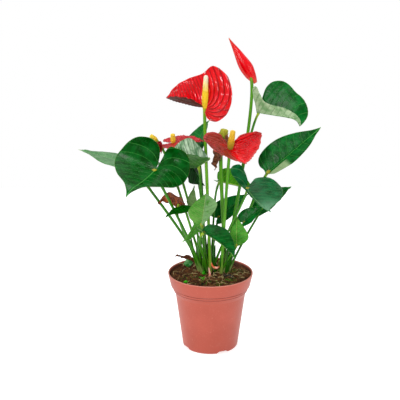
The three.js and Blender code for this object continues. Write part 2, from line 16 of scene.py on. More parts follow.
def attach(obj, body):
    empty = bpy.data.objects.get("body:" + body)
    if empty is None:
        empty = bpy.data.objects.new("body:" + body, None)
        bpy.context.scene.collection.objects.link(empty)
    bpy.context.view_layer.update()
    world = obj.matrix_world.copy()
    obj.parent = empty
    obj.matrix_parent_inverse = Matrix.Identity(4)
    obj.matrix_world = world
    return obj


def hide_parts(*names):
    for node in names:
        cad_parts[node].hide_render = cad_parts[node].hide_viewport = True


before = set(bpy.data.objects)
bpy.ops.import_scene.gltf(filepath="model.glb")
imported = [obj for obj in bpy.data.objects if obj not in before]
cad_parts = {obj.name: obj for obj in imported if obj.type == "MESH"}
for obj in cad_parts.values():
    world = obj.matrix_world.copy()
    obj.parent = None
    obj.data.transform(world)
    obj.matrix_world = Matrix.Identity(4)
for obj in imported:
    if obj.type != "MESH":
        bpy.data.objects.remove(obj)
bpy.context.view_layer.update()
MM = 0.001

# ---------------- sizes and plant tables

POT = SimpleNamespace(height=110, rim_radius=60, collar_height=18.5, collar_foot_radius=56, ring_drop=6.5,
                      ring_radius=53.2, neck_radius=49.6, neck_drop=5.5, base_radius=39.6, corner_height=5,
                      foot_radius=37.6, wall=1.3, floor_gap=4, hub_radius=10)
NOTCH = SimpleNamespace(count=4, first=-63, width=17, top_width=12, height=3.4)
DRAIN = SimpleNamespace(count=6, circle=23, radius=3)
CROWN = SimpleNamespace(foot_radius=5.5, top_radius=3.6, height=15)
GAP = 0.3
ROOT_LIFT = 1.6
SOIL_EDGE = 105.5
SOIL_TOP = 109
SOIL_FLAT_RADIUS = 30
ROOT_RINGS = [7.6, 11.8]
CROWNS = {"left": [-6, 8], "right": [15, 6]}


def outline(start, *points):
    """One half of a blade, from the notch at its joint to its tip, in hundredths of the blade's length.

    Each point is [along the midrib, out from the midrib].
    """
    return np.array([[start, 0], *points, [100, 0]]) / 100


LEAF_PAIR = [outline(-5, [-22, 9], [-36, 24], [-29, 43], [-4, 54], [27, 48], [58, 30], [82, 11],
                     [92, 3.5])] * 2
SPATHE_PAIR = [outline(-5, [-26, 8], [-48, 22], [-44, 50], [-13, 67], [25, 60], [58, 38], [82, 14],
                       [92, 4.5])] * 2
# A long leaf with shallow lobes.
LONG_PAIR = [outline(-5, [-12, 10], [-14, 28], [0, 43], [27, 46], [58, 32], [82, 13], [93, 4])] * 2
# A young leaf, still an arrowhead with hardly any lobes.
YOUNG_PAIR = [outline(-5, [-1, 12], [9, 31], [25, 42], [44, 36], [66, 21], [87, 6])] * 2
# A broad heart whose lobes close up behind the joint; the left one reaches over to the other half.
CLOSED_PAIR = [outline(-5, [-26, 2], [-43, 5.5], [-54, 18], [-50, 39], [-30, 56], [-4, 60], [25, 52],
                       [52, 35], [74, 15], [88, 5]),
               outline(-5, [-26, 3], [-43, 8], [-53, 21], [-49, 41], [-30, 56], [-4, 60], [25, 52], [52, 35],
                       [74, 15], [88, 5])]
# A leaf whose left half is broad and whose right half is a strip with a standing ear behind the joint.
EAR_PAIR = [outline(-5, [-20, 10], [-36, 20], [-42, 34], [-34, 48], [-14, 57], [10, 58], [32, 52], [54, 40],
                    [72, 22], [86, 6]),
            outline(-5, [-22, -5], [-42, -2], [-60, 8], [-62, 20], [-45, 26], [-20, 17], [5, 6], [40, 5],
                    [70, 4], [90, 2])]
# A leaf cupped into a bowl: its far half has a tall round lobe and is narrow towards the tip.
BOWL_PAIR = [outline(-5, [-40, 10], [-74, 26], [-90, 42], [-80, 56], [-46, 63], [-10, 63], [20, 56],
                     [42, 36], [58, 16], [78, 5]),
             LEAF_PAIR[0]]
# A spearhead: the upper half broad at its foot, the lower half slim.
SPEAR_PAIR = [outline(-5, [-3, 9], [-4, 21], [0, 33], [10, 41], [25, 44], [45, 40], [65, 28], [85, 10],
                      [95, 3]),
              outline(-5, [-1, 6], [6, 13], [18, 19], [36, 23], [55, 22], [73, 15], [87, 7], [95, 2])]
# A leaf that has curled up: its far half stands like a sail and its near half is a low trough.
CURLED_PAIR = [outline(-5, [0, 12], [3, 30], [8, 48], [20, 60], [38, 64], [56, 58], [74, 44], [88, 26],
                       [96, 10]),
               outline(-5, [-8, 22], [-13, 48], [-14, 70], [-5, 75], [2, 55], [12, 36], [32, 28], [60, 24],
                       [84, 12])]
# A young leaf that opens askew: its left half widens near the middle, its right half near the tip.
SKEW_PAIR = [outline(-5, [2, 20], [15, 38], [35, 46], [60, 36], [85, 14]),
             outline(-5, [6, 12], [26, 30], [50, 45], [68, 50], [84, 36])]
# A small spathe that has no lobes of its own behind the joint.
SHORT_PAIR = [outline(-1, [-2, 12], [2, 34], [14, 50], [33, 50], [58, 37], [82, 16])] * 2
# The open flower's spathe: its far half has a round lobe that swings past the midrib and hangs below.
SWEPT_PAIR = [SHORT_PAIR[0],
              outline(-1, [-14, -22], [-36, -26], [-58, -5], [-66, 32], [-52, 72], [-16, 92], [8, 72],
                      [40, 56], [72, 33])]


def row(name, joint, turns, length, width, fold, cup, **more):
    """A row of the tables below. What a row leaves out is straight, with the plain leaf's outline."""
    plain = dict(arch=0, hook=0, lobe=(0, 0), sway=0, outlines=LEAF_PAIR, young=False, old=False)
    joint, width, fold, cup = (np.array(measure, float) for measure in (joint, width, fold, cup))
    own = dict(name=name, joint=joint, turns=turns, length=length, width=width, fold=fold, cup=cup, **more)
    return SimpleNamespace(**{**plain, **own})


# A blade is placed by its joint with the stalk. Its turns are heading, which turns it about Z (0 is right,
# -90 is front), pitch, which lifts its tip, and roll, which lifts its left half. Then come its length and
# three pairs of [left half, right half], seen from above with the tip pointing away: width scales the half,
# fold lifts it from the midrib and cup bends it back down on the way out. lobe lifts the two lobes, arch
# bends the tip down, hook adds a bend near the tip and sway swings the tip to the left. The stalk grows
# from a crown, at a slot: a ring of the crown and a twelfth of a turn.
LEAVES = [
    row("front_left", [-75, -50, 272], (-112, -12, -14), 85, [0.88, 1.12], [25, 2], [55, 0], arch=-16,
        hook=58, lobe=[75, 75], sway=-3, outlines=CLOSED_PAIR, grow="left", slot=[1, 8]),
    row("far_left", [-108, 25, 261], (155, 5, 5), 90, [0.95, 0.9], [10, 10], [15, 20], arch=-5, grow="left",
        slot=[1, 4]),
    row("back_left", [-17, -2, 264], (-60, 30, 24), 66, [1.05, 1.1], [70, 54], [-10, 0], hook=-20, sway=-15,
        outlines=BOWL_PAIR, grow="left", slot=[0, 6]),
    row("dark_left", [-27, 44, 254], (-68, -20, 70), 52, [0.66, 0.9], [24, 8], [18, 18], outlines=YOUNG_PAIR,
        grow="left", slot=[0, 2]),
    row("tall_back", [-21, 86, 268], (60, 55, -25), 52, [1, 1], [20, 25], [20, 20], arch=20, grow="left",
        slot=[1, 3]),
    row("top_right", [65, 0, 339], (-12, -5, 15), 62, [1.2, 1], [65, 75], [10, 0], arch=5, hook=70,
        outlines=CURLED_PAIR, grow="right", slot=[0, 10]),
    row("right", [80, 11, 253], (12, 39, 66), 96, [0.68, 0.9], [0, 50], [10, 0], outlines=SPEAR_PAIR,
        grow="right", slot=[0, 0]),
    row("mid_right", [49, -38, 244], (-81, -10, 8), 69, [1.18, 1], [-4, 10], [10, 0], arch=10, hook=2,
        lobe=[5, 78], sway=15, outlines=EAR_PAIR, grow="right", slot=[1, 6]),
    row("right_rear", [73, 35, 191], (10, 38, 55), 54, [0.9, 0.45], [10, 40], [15, 10], arch=8,
        lobe=[-40, -40], outlines=LONG_PAIR, grow="right", slot=[1, 0]),
    row("behind_stems", [14, 38, 232], (5, -14, -62), 52, [0.85, 1.1], [48, 8], [10, 10], arch=5,
        outlines=LONG_PAIR, grow="left", slot=[0, 1]),
    row("inner_back", [12, 42, 178], (10, 38, 50), 55, [0.75, 0.5], [8, 15], [12, 12], arch=8,
        outlines=LONG_PAIR, grow="left", slot=[1, 2]),
    row("low_right", [47, 0, 184], (8, 38, 58), 36, [0.85, 0.7], [10, 50], [12, 10], arch=5,
        outlines=LONG_PAIR, grow="right", slot=[0, 11]),
    row("centre_left", [-13, -64, 201], (66, 66, 0), 42, [1.1, 1], [10, 20], [10, 10], arch=-5,
        outlines=SKEW_PAIR, grow="left", slot=[0, 8], young=True),
    row("left_low", [-27, -33, 210], (195, 4, 8), 38, [0.8, 0.9], [10, 30], [15, 15], arch=25,
        outlines=LONG_PAIR, grow="left", slot=[0, 7]),
    row("left_grey", [-25, 10, 201], (75, 76, -20), 32, [0.75, 0.5], [15, 15], [10, 10], outlines=YOUNG_PAIR,
        grow="left", slot=[1, 7], young=True),
    row("low_left", [-15, -37, 193], (225, -38, -108), 36, [0.8, 0.8], [5, 10], [20, 15], arch=15,
        grow="left", slot=[0, 10], young=True),
    row("front_low", [-10, -72, 192], (-43, -12, -10), 58, [1.05, 0.7], [25, 30], [10, 10], arch=20, hook=25,
        sway=8, outlines=LONG_PAIR, grow="left", slot=[0, 9]),
    row("low_right_pale", [36, -15, 155], (90, 75, -5), 42, [0.6, 0.95], [5, 5], [10, 10],
        outlines=YOUNG_PAIR, grow="right", slot=[0, 9], young=True),
]
# Flowers carry the same blade as a spathe, with the spadix standing in its notch: its height and its radius
# at the foot and the top. lean tips it [to the right, to the back]; peduncle is the stalk's radius.
FLOWERS = [
    row("open", [-11, -20, 351], (155, 3, -22), 62, [0.95, 1], [55, 62], [5, 0], arch=7, sway=-12,
        outlines=SWEPT_PAIR, spadix=[47, 3.8, 2.6], lean=[2, -14], peduncle=2.3, grow="left", slot=[1, 10]),
    row("middle", [26, -31, 295], (-85, -12, -10), 60, [1.2, 1], [18, 5], [-30, -15], arch=-20,
        lobe=[22, 22], sway=12, outlines=SPATHE_PAIR, spadix=[26, 4.2, 3.2], lean=[8, 0], peduncle=2.2,
        grow="right", slot=[1, 9]),
    row("old_green", [14, 4, 294], (205, -70, 0), 37, [0.8, 0.8], [15, 15], [25, 25], arch=10,
        outlines=SPATHE_PAIR, spadix=[18, 5.5, 5], lean=[12, 5], peduncle=2.8, grow="right", slot=[1, 2],
        old=True),
    row("left", [-51, 73, 280], (-17, 10, 8), 45, [1, 1], [1, 0], [5, -8], arch=5, hook=15,
        outlines=SPATHE_PAIR, spadix=[13, 3.4, 2.8], lean=[-3, 0], peduncle=1.8, grow="left", slot=[0, 3]),
    row("far_left", [-74, 17, 295], (-60, -40, 0), 19, [0.6, 0.5], [15, 15], [20, 20], arch=20,
        outlines=SHORT_PAIR, spadix=[11, 3, 2.4], lean=[-50, 0], peduncle=1.8, grow="left", slot=[0, 4]),
]
WITHERED_SPATHE = row(
    "withered", [-44, -5, 212], (135, 6, 30), 38, [1, 0.9], [50, 10], [42, 60], arch=30, lobe=[-40, -40],
    grow="left", slot=[1, 6])
DRY_SHEATH = row(
    "dry_sheath", [-19, 13, 119], (170, 24, 50), 34, [0.45, 0.45], [35, 35], [20, 20], arch=20,
    outlines=YOUNG_PAIR)
# The bud's spathe is rolled round the line from foot to tip. Its stalk meets its front, at hold.
BUD = SimpleNamespace(foot=np.array([61.0, 19, 377]), tip=np.array([24.0, 19, 438]), radius=9.5, hold=12.5,
                      peduncle=2.3, grow="right", slot=[1, 1])

# ---------------- finishes


def math_method(operation, swapped=False):
    """A method of Value that adds one Math node; swapped puts the value behind the other number."""
    def method(self, *others):
        return self.finish.math(operation, *((*others, self) if swapped else (self, *others)))
    return method


class Value:
    """A socket's output. Arithmetic on one that carries numbers adds Math nodes."""

    __add__ = __radd__ = math_method("ADD")
    __mul__ = __rmul__ = math_method("MULTIPLY")
    __sub__ = math_method("SUBTRACT")
    __rsub__ = math_method("SUBTRACT", swapped=True)
    __abs__ = math_method("ABSOLUTE")

    def __init__(self, finish, socket):
        self.finish = finish
        self.socket = socket

    def between(self, low, high):
        """0 below low, 1 above high, and smooth in between; low may be the larger one."""
        limits = {"Value": self, "From Min": low, "From Max": high}
        return self.finish.value("Result", "ShaderNodeMapRange", limits, interpolation_type="SMOOTHSTEP")

    def parts(self):
        """The numbers of a vector."""
        made = self.finish.node("ShaderNodeSeparateXYZ", {}, {0: self})
        return [Value(self.finish, socket) for socket in made.outputs]


class Finish:
    """One material, or a world, with its node tree. node() adds any node; the others are short ways."""

    def __init__(self, name, shelf=bpy.data.materials):
        self.owner = shelf.new(name)
        self.owner.use_nodes = True
        self.tree = self.owner.node_tree
        self.tree.nodes.clear()

    def node(self, kind, settings, inputs):
        made = self.tree.nodes.new(kind)
        for key, value in settings.items():
            if key == "stops":
                set_stops(made.color_ramp, value)
            else:
                setattr(made, key, value)
        for key, value in inputs.items():
            if isinstance(value, Value):
                self.tree.links.new(value.socket, made.inputs[key])
            else:
                made.inputs[key].default_value = value
        return made

    def value(self, output, kind, inputs, **settings):
        """One output of a new node."""
        return Value(self, self.node(kind, settings, inputs).outputs[output])

    def math(self, operation, *values):
        return self.value(0, "ShaderNodeMath", dict(enumerate(values)), operation=operation)

    def mix(self, share, first, second, blend="MIX"):
        """Colours mixed; a tuple is an sRGB colour of 0 to 255."""
        first, second = (c if isinstance(c, Value) else srgb(c) for c in (first, second))
        inputs = {0: share, 6: first, 7: second}
        return self.value(2, "ShaderNodeMix", inputs, data_type="RGBA", blend_type=blend)

    def tinted(self, color, *tints):
        """A colour with tints laid over it one after another, each one a share and a colour."""
        for share, tint in tints:
            color = self.mix(share, color, tint)
        return color

    def ramp(self, value, stops):
        return self.value("Color", "ShaderNodeValToRGB", {"Fac": value}, stops=stops)

    def place(self):
        return self.value("Object", "ShaderNodeTexCoord", {})

    def chart(self, name):
        """The two numbers of one of the piece's own charts."""
        return self.value("UV", "ShaderNodeUVMap", {}, uv_map=name).parts()[:2]

    def vector(self, x, y):
        return self.value(0, "ShaderNodeCombineXYZ", {0: x, 1: y})

    def noise(self, vector, scale, detail=3.0, roughness=0.55, distortion=0.0):
        inputs = {"Vector": vector, "Scale": scale, "Detail": detail, "Roughness": roughness}
        return self.value("Fac", "ShaderNodeTexNoise", {**inputs, "Distortion": distortion})

    def cells(self, vector, scale):
        return self.value("Distance", "ShaderNodeTexVoronoi", {"Vector": vector, "Scale": scale})

    def surface(self, color, roughness, shine=0.5, height=None, depth=None, **more):
        """The shader. shine is its specular level, and height is bumped to a depth in metres.

        more names other inputs, with underscores for spaces.
        """
        inputs = {key.replace("_", " "): value for key, value in more.items()}
        inputs.update({"Base Color": color, "Roughness": roughness, "Specular IOR Level": shine})
        if depth:
            bump = {"Height": height, "Distance": depth}
            inputs["Normal"] = self.value("Normal", "ShaderNodeBump", bump)
        shader = self.node("ShaderNodeBsdfPrincipled", {}, inputs)
        out = self.node("ShaderNodeOutputMaterial", {}, {})
        self.tree.links.new(shader.outputs["BSDF"], out.inputs["Surface"])
        return self.owner


def set_stops(ramp, stops):
    while len(ramp.elements) < len(stops):
        ramp.elements.new(0.5)
    for element, (position, color) in zip(ramp.elements, stops):
        element.position = position
        element.color = srgb(color)


def srgb(color):
    """An sRGB colour of 0 to 255 as the linear colour that a socket takes."""
    return tuple((c / 255) ** 2.2 for c in color) + (1.0,)


def vein_lines(skin, width):
    """1 on the side veins of a blade and 0 away from them; width is a share of their spacing."""
    phase, _ = skin.chart("veins")
    return abs(skin.math("FRACT", phase + 0.5) - 0.5).between(width, width * 0.3)


def midrib_line(skin, edge, core):
    """1 within core of the midrib, 0 past edge and behind the joint, in shares of the blade's length."""
    along, out = skin.chart("shape")
    return abs(out).between(edge, core) * along.between(-0.02, 0.02)


def leaf_upper(name, deep, light, vein, roughness=0.3, shine=0.09, width=0.045,
               tip=None, right=None, heel=None):
    """Waxy upper side of a leaf: mottled green with paler veins. Its tip may carry a painted grey sheen; its
    right half and heel may differ.
    """
    skin = Finish(name)
    place = skin.place()
    along, out = skin.chart("shape")
    ring, _ = skin.chart("margin")
    lines = vein_lines(skin, width)
    rib = midrib_line(skin, 0.016, 0.004)
    mottle = skin.noise(place, 90, 4, 0.6)
    heart = (along * along + out * out).between(0.0024, 0.0)
    color = skin.tinted(deep, (mottle.between(0.35, 0.7), light), (lines * 0.6, vein), (rib * 0.75, vein),
                        (heart * 0.8, (186, 168, 60)), (ring.between(0.985, 1.0) * 0.6, (95, 130, 50)))
    # A tip colour laid over the outer half is a painted sheen.
    if tip:
        color = skin.mix(along.between(0.4, 0.95) * 0.75, color, tip)
    if right:
        color = skin.mix(out.between(0.01, -0.01) * mottle.between(0.25, 0.45) * 0.85, color, right)
    if heel:
        color = skin.mix(out.between(-0.04, -0.055) * along.between(0.34, 0.26) * 0.9, color, heel)
    puff = skin.noise(place, 260, 2) * 0.6 + skin.noise(place, 900, 2) * 0.08 - lines * 0.6 - rib * 0.6
    return skin.surface(color, mottle * 0.16 + (roughness - 0.06), shine, puff, 0.0006)


def leaf_under(name, pale, deep, vein):
    """Duller underside of a leaf, with its veins standing out."""
    skin = Finish(name)
    lines = vein_lines(skin, 0.06)
    rib = midrib_line(skin, 0.022, 0.006)
    mottle = skin.noise(skin.place(), 120, 4, 0.6)
    color = skin.tinted(pale, (mottle.between(0.3, 0.7), deep), (lines * 0.5, vein), (rib, vein))
    height = lines * 0.8 + rib + mottle * 0.3
    return skin.surface(color, mottle * 0.15 + 0.43, 0.12, height, 0.0006)


def spathe_upper(name, red, light, vein, shine, dull=None, margin=None, roughness=0.14):
    """Lacquered upper side of a spathe: quilted between curved veins. dull colours its right half."""
    skin = Finish(name)
    place = skin.place()
    _, out = skin.chart("shape")
    ring, _ = skin.chart("margin")
    phase, reach = skin.chart("veins")
    lines = vein_lines(skin, 0.14)
    cloud = skin.noise(place, 70, 3)
    # Where vein is a darker red, as on the two red spathes, it stands for painted shade in the vein valleys.
    color = skin.tinted(red, (cloud.between(0.4, 0.75), light), (lines * 0.7, vein))
    if dull:
        fade = out.between(0.03, -0.1) * skin.noise(place, 60, 3).between(0.15, 0.5)
        color = skin.mix(fade * 0.9, color, dull)
    if margin:
        edge = ring.between(0.88, 0.99) * skin.noise(place, 110, 2).between(0.25, 0.6)
        color = skin.mix(edge * 0.85, color, margin)
    quilt = skin.cells(skin.vector(phase, reach * 3.0), 1.6)
    height = quilt * 0.5 + skin.noise(place, 420, 3, 0.6) * 0.35 - lines * 0.7
    return skin.surface(color, cloud * 0.12 + (roughness - 0.05), shine, height, 0.0012)


def spathe_under(name, color, streak):
    """Underside of a spathe: duller, with streaks along its veins."""
    skin = Finish(name)
    lines = vein_lines(skin, 0.14)
    cloud = skin.noise(skin.place(), 110, 4, 0.65)
    tone = skin.tinted(color, (cloud.between(0.35, 0.7), streak), (lines * 0.6, streak))
    return skin.surface(tone, cloud * 0.2 + 0.32, 0.2, lines + cloud * 0.5, 0.0006)


def withered_skin(name, pale, dark):
    """Dry brown spathe or sheath, with dark curved ribs and papery wrinkles."""
    skin = Finish(name)
    place = skin.place()
    lines = vein_lines(skin, 0.2)
    blotch = skin.noise(place, 160, 5, 0.7, 0.6)
    color = skin.tinted(pale, (blotch.between(0.3, 0.7), dark), (lines * 0.7, dark))
    wrinkle = skin.noise(place, 700, 4, 0.7)
    return skin.surface(color, blotch * 0.25 + 0.45, 0.2, wrinkle * 0.6 + lines, 0.0008)


def stem_skin(name, foot, middle, top):
    """Skin of a stalk: its colour runs from foot to top, with fine streaks along it."""
    skin = Finish(name)
    along, around = skin.chart("stem")
    streaks = skin.noise(skin.vector(around * 9.0, along * 5.0), 1.0, 3, 0.6)
    freckle = skin.noise(skin.place(), 500, 2)
    dark = tuple(int(c * 0.62) for c in middle)
    color = skin.ramp(along, [(0.0, foot), (0.1, middle), (0.86, middle), (0.97, top)])
    color = skin.tinted(color, (streaks.between(0.35, 0.7) * 0.4, dark),
                        (freckle.between(0.6, 0.75) * 0.25, (150, 180, 80)))
    return skin.surface(color, streaks * 0.15 + 0.31, 0.25, streaks * 0.8 + freckle * 0.3, 0.0003)


def spadix_skin(name, stops):
    """Dense florets of a spadix: its colour runs from foot to tip, darkened between the florets as painted
    shade.
    """
    skin = Finish(name)
    place = skin.place()
    along, _ = skin.chart("stem")
    cell = skin.cells(place, 1100)
    speck = skin.noise(place, 300, 3)
    color = skin.ramp(along + (speck - 0.5) * 0.12, stops)
    # Darker in the gaps between the florets: painted shade.
    color = skin.mix(cell.between(0.25, 0.75) * 0.35, color, (150, 105, 20), "MULTIPLY")
    return skin.surface(color, speck * 0.2 + 0.45, 0.5, cell * -1.0, 0.0004,
                        Subsurface_Weight=0.08, Subsurface_Radius=(0.002, 0.001, 0.0005))


def pot_plastic():
    """Thin terracotta-coloured plastic: satin, painted shade in its two grooves, a painted highlight on its
    rim, peat dust on its inner wall.
    """
    skin = Finish("terracotta plastic")
    place = skin.place()
    x, y, height = place.parts()
    cloud = skin.noise(place, 14, 4, 0.6)
    speck = skin.noise(place, 650, 2)
    color = skin.tinted((168, 74, 57), (cloud.between(0.3, 0.7), (156, 66, 49)),
                        (speck.between(0.62, 0.72) * 0.25, (200, 128, 108)))
    # The two grooves are darkened in colour: painted shade.
    for groove, groove_shade in ((0.0902, 0.7), (0.0863, 0.6)):
        color = skin.mix(abs(height - groove).between(0.001, 0.0003) * groove_shade, color, (106, 40, 28))
    dust = skin.noise(place, 30, 5, 0.7).between(0.55, 0.8) * height.between(0.03, 0.0)
    reach = skin.math("SQRT", x * x + y * y) - height * 0.216
    stain = reach.between(0.0357, 0.0352) * height.between(0.1086, 0.1076) * height.between(0.0925, 0.094)
    # The pale band along the rim's top is a painted highlight.
    color = skin.tinted(color, (height.between(0.1085, 0.1098) * 0.6, (205, 136, 118)),
                        (dust * 0.3, (204, 150, 134)), (stain * 0.85, (58, 38, 24)))
    return skin.surface(color, cloud * 0.14 + 0.38, 0.45, speck * 0.5 + cloud, 0.0003)


def peat():
    """Crumbly dark peat with lighter crumbs."""
    skin = Finish("peat")
    place = skin.place()
    crumbs = skin.noise(place, 260, 6, 0.72)
    blots = skin.noise(place, 57.2, 4, 0.6)
    tones = [(0.25, (16, 8, 4)), (0.45, (62, 36, 18)), (0.6, (106, 66, 36)), (0.78, (164, 116, 74))]
    color = skin.ramp(crumbs * 0.7 + blots * 0.3, tones)
    return skin.surface(color, crumbs * 0.25 + 0.65, 0.15, crumbs, 0.0022)


def litter(name, pale, dark, roughness=0.7):
    """Bits of bark, root and moss: a different tone from piece to piece."""
    skin = Finish(name)
    place = skin.place()
    grain = skin.noise(place, 1400, 3)
    color = skin.mix(skin.noise(place, 140, 3).between(0.35, 0.65), pale, dark)
    return skin.surface(color, grain * 0.2 + (roughness - 0.1), 0.2, grain, 0.0003)


def bud_skin():
    """Bright red rolled spathe: orange-pink at its foot, a thin orange point, painted shade in its furrows, a
    painted highlight on its free edge.
    """
    skin = Finish("rolled spathe")
    along, around = skin.chart("stem")
    cloud = skin.noise(skin.place(), 90, 3)
    ridges = skin.noise(skin.vector(around * 26.0, along * 3.0), 1.0, 3)
    color = skin.ramp(along, [(0.0, (226, 112, 84)), (0.13, (228, 60, 56)), (0.24, (224, 0, 18)),
                              (0.7, (226, 6, 24)), (0.88, (224, 46, 34)), (0.98, (226, 104, 48))])
    color = skin.tinted(color, (cloud.between(0.5, 0.8) * 0.35, (236, 50, 60)),
                        # Deep red where the bump is low: painted shade in the furrows.
                        (ridges.between(0.5, 0.3) * 0.45, (150, 0, 10)),
                        # Pale along the free edge: a painted highlight.
                        (around.between(0.97, 1.0) * 0.7, (238, 96, 88)))
    return skin.surface(color, cloud * 0.12 + 0.16, 0.3, ridges, 0.0008)

# ---------------- making pieces


def make_mesh(name, vertices, faces, charts=(), slots=None):
    """A mesh from points in mm. charts maps a chart's name to two numbers a vertex, slots has one a face."""
    mesh = bpy.data.meshes.new(name)
    mesh.from_pydata([tuple(v) for v in vertices * MM], [], [tuple(int(i) for i in face) for face in faces])
    corners = np.empty(len(mesh.loops), int)
    mesh.loops.foreach_get("vertex_index", corners)
    for chart, values in dict(charts).items():
        layer = mesh.uv_layers.new(name=chart)
        layer.data.foreach_set("uv", np.asarray(values, float)[corners].ravel())
    if slots is not None:
        mesh.polygons.foreach_set("material_index", np.asarray(slots, int))
    mesh.polygons.foreach_set("use_smooth", [True] * len(mesh.polygons))
    mesh.update()
    return mesh


def in_scene(name, data):
    """A new object, linked to the scene."""
    made = bpy.data.objects.new(name, data)
    bpy.context.scene.collection.objects.link(made)
    return made


def add_piece(name, mesh, materials, nodes=()):
    """Puts a finished mesh in the scene: it rides on the plant's one body and may stand for CAD nodes."""
    for material in materials[len(mesh.materials):]:
        mesh.materials.append(material)
    piece = in_scene(name, mesh)
    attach(piece, "root")
    if nodes:
        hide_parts(*nodes)


def evaluated(holder):
    """The plain mesh that an object's modifiers make; the object goes."""
    view = bpy.context.evaluated_depsgraph_get()
    made = bpy.data.meshes.new_from_object(holder.evaluated_get(view))
    bpy.data.objects.remove(holder)
    return made


def polar(radius, degrees):
    return radius * np.cos(np.radians(degrees)), radius * np.sin(np.radians(degrees))


def unit(vector):
    return vector / np.linalg.norm(vector)


def turns_of(count):
    """Angles that go evenly once round, in radians."""
    return np.arange(count) * math.tau / count


def level_ring(angle, radius, height):
    """A level ring of points about +Z. Radius and height are numbers, or one number for each angle."""
    return np.stack([np.cos(angle) * radius, np.sin(angle) * radius, height + 0 * angle], -1)


def grid_faces(rows, columns, closed=True, start=0):
    """Quads between rows of a grid whose columns run round a ring, or side by side if not closed."""
    row = np.arange(rows - 1)[:, None]
    column = np.arange(columns if closed else columns - 1)[None, :]
    beside = (column + 1) % columns
    a, b = row * columns + column, row * columns + beside
    faces = np.stack([a, b, b + columns, a + columns], axis=-1).reshape(-1, 4)
    return (faces + start).tolist()


def capped(rings, low, high):
    """Vertices and faces of rings one after another, closed by a fan of triangles to a point at each end."""
    rows, columns = len(rings), len(rings[0])
    faces = grid_faces(rows, columns)
    foot, last = rows * columns, (rows - 1) * columns
    for i in range(columns):
        j = (i + 1) % columns
        faces += [(foot, j, i), (foot + 1, last + i, last + j)]
    return np.concatenate(rings + [[low], [high]]), faces


def back_side(faces, total):
    """The same faces on a second layer of vertices, turned over."""
    return [tuple(total + i for i in reversed(face)) for face in faces]


def normals_of(vertices, faces):
    """Unit vertex normals of a mesh whose faces are all triangles or all quads."""
    faces = np.asarray(faces)
    corners = vertices[faces]
    face_normals = np.cross(corners[:, 2] - corners[:, 0], corners[:, -1] - corners[:, 1])
    total = np.zeros_like(vertices)
    for corner in faces.T:
        np.add.at(total, corner, face_normals)
    return total / np.maximum(np.linalg.norm(total, axis=1, keepdims=True), 1e-12)


def ripple(x, y, seed, waves=5):
    """A smooth wavy field of about -1 to 1, the same for the same seed."""
    dice = random.Random(seed)
    total = np.zeros(np.broadcast(x, y).shape)
    for _ in range(waves):
        turn, pace, shift = dice.uniform(0, math.tau), dice.uniform(0.6, 1.6), dice.uniform(0, math.tau)
        total = total + np.sin((x * math.cos(turn) + y * math.sin(turn)) * pace + shift)
    return total / math.sqrt(waves)


def smooth_curve(points, shares):
    """Places on a smooth curve through the given points, at shares of it from 0 to 1."""
    points = np.asarray(points, float)
    last = len(points) - 1
    at = np.asarray(shares, float) * last
    i = np.minimum(at.astype(int), last - 1)
    t = (at - i)[:, None]
    before, here, there, after = (points[np.clip(i + k, 0, last)] for k in (-1, 0, 1, 2))
    leave, arrive = (there - before) / 2, (after - here) / 2
    return ((2 * here - 2 * there + leave + arrive) * t ** 3
            + (3 * there - 3 * here - 2 * leave - arrive) * t ** 2 + leave * t + here)


# ---------------- blades

# Relief of the upper side: spacing of the side veins as a share of the length, their half width and depth
# (sink), height of the puffs, of the quilting and of the wave round the margin, all in mm, and its waves.
LEAF_RELIEF = SimpleNamespace(spacing=0.13, vein=1.1, sink=0.28, puff=0.22, quilt=0.0, wave=0.5, waves=9)
SPATHE_RELIEF = SimpleNamespace(spacing=0.085, vein=1.0, sink=0.4, puff=0.4, quilt=1.2, wave=0.35, waves=13)
DRY_RELIEF = SimpleNamespace(spacing=0.16, vein=1.0, sink=0.5, puff=1.1, quilt=0.5, wave=1.4, waves=7)


def arc_step(length, start, bend):
    """Length along, rise and end angle of a path that starts at an angle and bends evenly."""
    bend = np.where(np.abs(bend) < 1e-7, 1e-7, bend)
    end = start + bend * length
    return (np.sin(end) - np.sin(start)) / bend, (np.cos(start) - np.cos(end)) / bend, end


def midrib(blade, side, share):
    """Place and lean of the midrib at shares of the blade's length; the lobes are at negative shares."""
    length, hook_start, lobe_reach = blade.length, 0.7, 0.4
    lobe = np.radians(blade.lobe)[side] / (lobe_reach * length)
    back_x, back_z, back_lean = arc_step(np.maximum(-share, 0) * length, 0.0, lobe)
    bend = -math.radians(blade.arch) / length
    first_x, first_z, first_lean = arc_step(np.clip(share, 0, hook_start) * length, 0.0, bend)
    extra = math.radians(blade.hook) / ((1 - hook_start) * length)
    beyond = np.maximum(share - hook_start, 0) * length
    second_x, second_z, second_lean = arc_step(beyond, first_lean, bend - extra)
    behind = share < 0
    return (np.where(behind, -back_x, first_x + second_x), np.where(behind, back_z, first_z + second_z),
            np.where(behind, -back_lean, second_lean))


def blade_points(blade, side, along, out):
    """Points of the blade's middle surface in its own axes; side is 0 for the left half, 1 for the right."""
    width, fold, cup = blade.length * blade.width[side], blade.fold[side], blade.cup[side]
    across, rise, _ = arc_step(out * width, np.radians(fold), -np.radians(cup) / (0.5 * width))
    y = np.where(side == 0, across, -across)
    x, z, lean = midrib(blade, side, along)
    swing = blade.length * math.tan(math.radians(blade.sway)) * np.maximum(along, 0) ** 2
    return np.stack([x - rise * np.sin(lean), y + swing, z + rise * np.cos(lean)], axis=-1)


def blade_turn(blade):
    heading, pitch, roll = (math.radians(turn) for turn in blade.turns)
    return np.array(Euler((roll, -pitch, heading), "XYZ").to_matrix())


